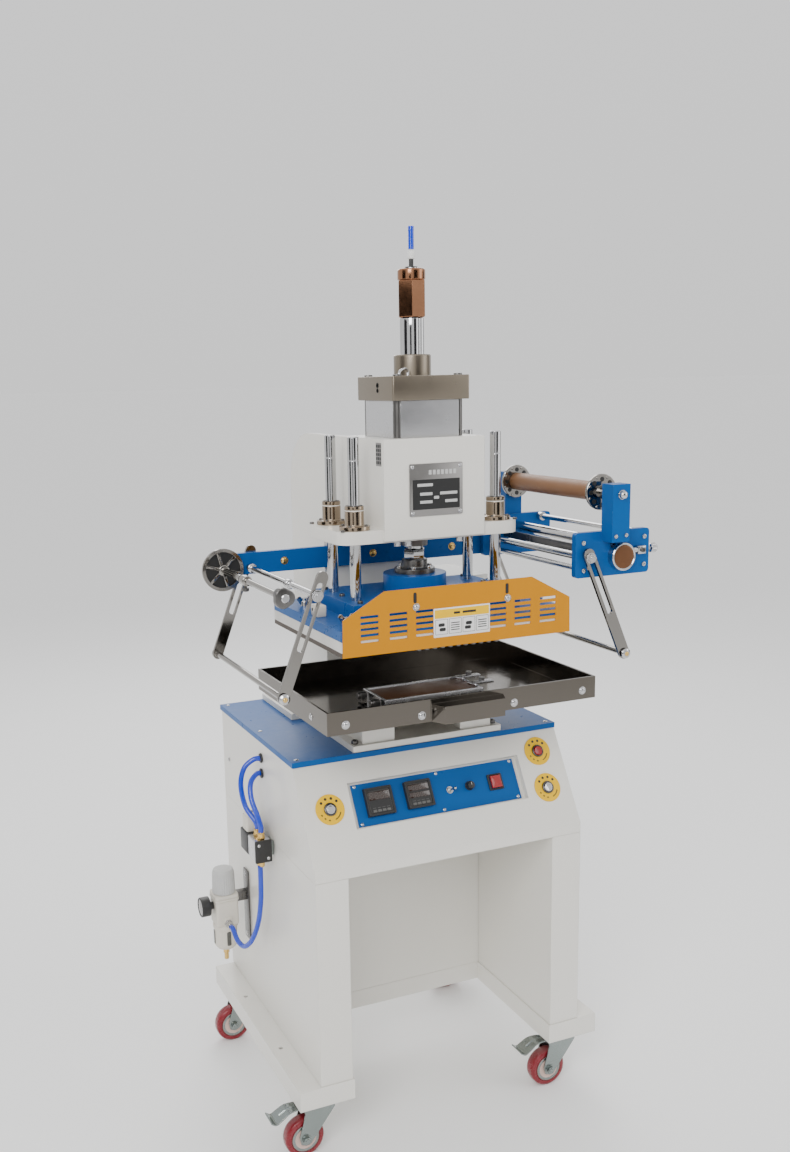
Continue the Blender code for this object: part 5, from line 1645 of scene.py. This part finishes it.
grommets = [
    turned(
        [(-0.0003, 0.0090), (0.0010, 0.0098), (0.0030, 0.0086), (0.0036, 0.0054)],
        facing((-0.2708, 0.2620, z), (-1, 0, 0)), 40, 0.0006
    )
    for z in (0.685, 0.655)
]
piece("hose_grommets", grommets, RUBBER)
print("solenoid valve")

# %% [markdown]
# ## Hoses and cables
# Air hose is extruded polyurethane, 10 mm across and glossy. It is cut to length, pushed into fittings at
# both ends, and held up by its own stiffness between them. Each route is the one that the solid model has:
# a few points on one smooth curve. The cables feed the heater in the head from the box beside the column.

# %% Routes and tubes
ROUTES = {
    "valve_hose_rear": [(-0.2710, 0.2620, 0.6850), (-0.2860, 0.2650, 0.6830), (-0.3040, 0.2670, 0.6680),
                        (-0.3130, 0.2630, 0.6380), (-0.3100, 0.2500, 0.6000), (-0.2980, 0.2320, 0.5750),
                        (-0.2950, 0.2290, 0.5650), (-0.2950, 0.2290, 0.5588)],
    "valve_hose_front": [(-0.2710, 0.2620, 0.6550), (-0.2830, 0.2580, 0.6560), (-0.2990, 0.2450, 0.6450),
                         (-0.3040, 0.2300, 0.6200), (-0.2980, 0.2130, 0.5880), (-0.2950, 0.2080, 0.5700),
                         (-0.2950, 0.2080, 0.5588)],
    "supply_hose": [(-0.3220, 0.3352, 0.3180), (-0.3220, 0.3240, 0.3178), (-0.3210, 0.2980, 0.3050),
                    (-0.3160, 0.2720, 0.3050), (-0.3080, 0.2480, 0.3280), (-0.3000, 0.2300, 0.3700),
                    (-0.2960, 0.2210, 0.4200), (-0.2950, 0.2200, 0.4700), (-0.2950, 0.2200, 0.4892)],
    "power_cable": [(0.1560, 0.3310, 0.8420), (0.1500, 0.3310, 0.8420), (0.1320, 0.3290, 0.8380),
                    (0.1130, 0.3270, 0.8220), (0.0880, 0.3255, 0.8050), (0.0620, 0.3255, 0.7880),
                    (0.0450, 0.3270, 0.7740), (0.0370, 0.3310, 0.7660), (0.0360, 0.3355, 0.7640),
                    (0.0360, 0.3408, 0.7640)],
}
for name, points in ROUTES.items():
    radius, material, slot_name = 0.0050, HOSE_BLUE, "blue_air_hose"
    if name == "power_cable":
        radius, material, slot_name = 0.0045, RUBBER, "black_cable_rubber"
    line = smooth_path(points, 120)
    obj = piece(name + "_tube", tube(line, radius, 24), material, instead_of=name)

# %% [markdown]
# ## Heated platen, guard and work tray
# The platen is a stack: an iron heating plate, a pale insulation board and a blue cover. The carrier on top
# bolts to the ram. In front hangs an orange guard, which slides in two keyhole slots. The stainless tray
# pulls out on rails and holds a brown work bed between bright strips, with clamps.

# %% On the platen cover
COVER_TOP, GUARD_FRONT = 0.977, -0.0278
piece(
    "platen_disc",
    turned(
        [
            (CARRIER_TOP, 0.0560), (CARRIER_TOP + 0.0005, 0.0578), (1.0345, 0.0578), (1.0353, 0.0570),
            (1.0353, 0.0380)
        ],
        on_ram(0), 96, 0.0008
    ),
    BLUE, "press_head"
)


def wing_nut(x, y, z):
    """A hub and two wings, each a slab that leans outwards."""
    shapes = [turned([(0, 0.0072), (0.0080, 0.0060), (0.0095, 0.0050)], above(x, y, z), 36, 0.0006)]
    shapes.append(rod(0.0030, 0, 0.0140, above(x, y, z), 24, 0.0005))
    for side in (-1, 1):
        wing = facing((x + side * 0.0045, y, z + 0.0050), (0, -1, 0), (side * 0.55, 0, 0.85))
        shapes.append(slab(rectangle(0.0090, 0.0170, 0.0040, (0, 0.0065)), -0.0012, 0.0012, wing, 0.0008))
    return shapes


wing_nuts = []
for x in (-0.188, 0.188):
    for y in (0.030, 0.225):
        wing_nuts += wing_nut(x, y, COVER_TOP)
piece("platen_wing_nuts", wing_nuts, CHROME, "press_head")
carrier_screws = []
for x in (-0.145, 0.145):
    for y in (0.068, 0.1485, 0.228):
        carrier_screws += cap_screw(above(x, y, CARRIER_TOP), 0.0050, 0.0045)
piece("carrier_screws", carrier_screws, STEEL, "press_head")
grip = turned(
    [(0, 0.0030), (0.0040, 0.0030), (0.0045, 0.0065), (0.0130, 0.0065), (0.0140, 0.0050)],
    above(0.0750, 0.0800, CARRIER_TOP), 48, 0.0008, wave=lambda angle,
    height: 1 + 0.04 * np.sin(16 * angle) * (height > 0.0045)
)
piece("carrier_thumb_screw", grip, CHROME, "press_head")
terminal = [
    slab(
        rectangle(0.0300, 0.0180, 0.0020), 0, 0.0200,
        facing((-0.2000, 0.1250, COVER_TOP), (0, 0, 1), (1, 0, 0)), 0.0014
    )
]
piece("heater_terminal", terminal, CREAM_PLASTIC, "press_head")
# The two bores are painted shade: flat black discs on the terminal's side stand for their dark insides.
piece(
    "heater_terminal_bore_shade",
    [
        rod(0.0030, -0.0002, 0.0003, facing((-0.2090, 0.1250 + step, 0.9880), (-1, 0, 0)), 24)
        for step in (-0.007, 0.007)
    ],
    PRINT_AND_PAINTED_SHADE, "press_head"
)
under = []
for x in np.linspace(-0.075, 0.075, 11):
    under += cap_screw(below(x, -0.0165, 0.9335), 0.0042, 0.0046)
piece("heater_clamp_screws", under, STEEL, "press_head")
print("platen fittings")

# %% On the guard
LABEL_PAPER = finish(
    "printed_label", (0.80, 0.79, 0.77), 0.42, drift=0.06, drift_scale=60.0, grain_scale=1200.0,
    grain_height=0.000004, corner=0.0002, rubbing=0.1, rubbed_colour=(0.7, 0.7, 0.68), dust=0.03
)
label = front(0.0020, 0.9755, GUARD_FRONT)
piece(
    "guard_label", slab(rectangle(0.1090, 0.0500, 0.0015), 0.0001, 0.0005, label, 0.0001), LABEL_PAPER,
    "press_head"
)
piece(
    "guard_label_band",
    slab(rectangle(0.1050, 0.0150, 0.0010, (0, 0.0150)), 0.0005, 0.00065, label, LABEL_EDGE, 2),
    LEGEND_YELLOW, "press_head"
)
frames = [
    ring_slab(
        rectangle(0.0240, 0.0260, 0.0010, (place, -0.0075)),
        rectangle(0.0228, 0.0248, 0.0008, (place, -0.0075)), 0.0005, 0.00065, label, 0.00004
    )
    for place in (-0.0395, -0.0132, 0.0132, 0.0395)
]
lines = [
    slab(rectangle(0.0170, 0.0016, 0.0004, (place, height), 2), 0.0005, 0.00065, label, LABEL_EDGE, 2)
    for place in (-0.0132, 0.0395)
    for height in (-0.0020, -0.0060, -0.0100, -0.0140)
]
bars = [
    slab(rectangle(width, 0.0040, 0.0006, (place, 0.0150), 2), 0.00065, 0.0008, label, LABEL_EDGE, 2)
    for width, place in ((0.012, -0.010), (0.026, 0.014))
]
bars += [
    slab(rectangle(0.0120, 0.0060, 0.0025, (place, height), 4), 0.0005, 0.00065, label, LABEL_EDGE, 2)
    for place, height in ((-0.0395, -0.0040), (-0.0375, -0.0120), (0.0132, -0.0050), (0.0112, -0.0125))
]
piece("guard_label_marks", frames + lines + bars, PRINT_AND_PAINTED_SHADE, "press_head")
# The keyhole slots are painted shade: thin black slabs on the guard's front stand for the dark openings.
slots = [
    slab(rectangle(0.0062, 0.0180, 0.0031, place), 0, 0.0003, front(0, 0, GUARD_FRONT), 0.00005, 2)
    for place in ((-0.087, 1.0230), (0.0906, 1.0230))
]
piece("guard_key_slot_shade", slots, PRINT_AND_PAINTED_SHADE, "press_head")
guard_screws = []
for x, z in ((-0.0850, 1.0070), (0.0920, 1.0060)):
    guard_screws += dome_screw(front(x, z, GUARD_FRONT), 0.0052, 0.0040)
piece("guard_screws", guard_screws, CHROME, "press_head")
stand_offs = []
for x in (-0.150, 0.105):
    stand_offs.append(rod(0.0070, 0, 0.0160, facing((x, -0.0180, 1.0290 - 0.012), (1, 0, 0)), 36, 0.0010))
piece("guard_stand_offs", stand_offs, BRASS, "press_head")
print("guard details")

# %% Work bed in the tray
BED_LEFT, BED_RIGHT, BED_FRONT, BED_BACK, BED_LOW, BED_TOP = -0.120, 0.075, 0.026, 0.120, 0.8163, 0.836
middle = above((BED_LEFT + BED_RIGHT) / 2, (BED_FRONT + BED_BACK) / 2, 0)
width, depth = BED_RIGHT - BED_LEFT, BED_BACK - BED_FRONT
piece(
    "work_bed",
    slab(rectangle(width - 0.006, depth - 0.006, 0.0010), BED_LOW, BED_TOP - 0.0028, middle, 0.0006),
    BROWN, "tray", "lower_platen"
)
piece(
    "work_bed_rim",
    ring_slab(
        rectangle(width, depth, 0.0015), rectangle(width - 0.011, depth - 0.011, 0.0010), BED_LOW,
        BED_TOP, middle, 0.0008
    ),
    ALUMINIUM, "tray"
)
clamps = []
for x, y in ((BED_RIGHT - 0.002, 0.098), (BED_RIGHT - 0.002, 0.050)):
    clamps.append(
        slab(
            rectangle(0.0480, 0.0140, 0.0020, (0.0100, 0)), BED_TOP, BED_TOP + 0.0055, above(x, y, 0),
            0.0010
        )
    )
    clamps.append(rod(0.0060, BED_TOP, BED_TOP + 0.0120, above(x + 0.012, y, 0), 48, 0.0008, 6))
piece("bed_clamps", clamps, ALUMINIUM, "tray")
stops = []
for x, y in ((BED_LEFT - 0.004, 0.044), (BED_LEFT - 0.004, 0.100)):
    stops.append(
        turned(
            [(0, 0.0060), (0.0160, 0.0060), (0.0170, 0.0048)], facing((x, y, 0.8290), (-1, 0, 0)), 40,
            0.0008
        )
    )
    stops.append(slab(rectangle(0.0120, 0.0160, 0.0015), BED_LOW, 0.8345, above(x - 0.006, y, 0), 0.0008))
piece("bed_stops", stops, STEEL, "tray")
print("work bed")

# %% Small screws on the head and column
head_screws = []
for x in (-0.170, 0.170):
    for y in (0.078, 0.222):
        head_screws += cap_screw(above(x, y, EAR_TOP), 0.0040, 0.0034)
piece("ear_screws", head_screws, STEEL)
cabinet_screws = []
for z in (0.300, 0.620):
    for side in (-1, 1):
        cabinet_screws += dome_screw(facing((side * 0.2710, 0.470, z), (side, 0, 0)), 0.0034, 0.0020)
piece("cabinet_side_screws", cabinet_screws, CHROME)
print("last screws")
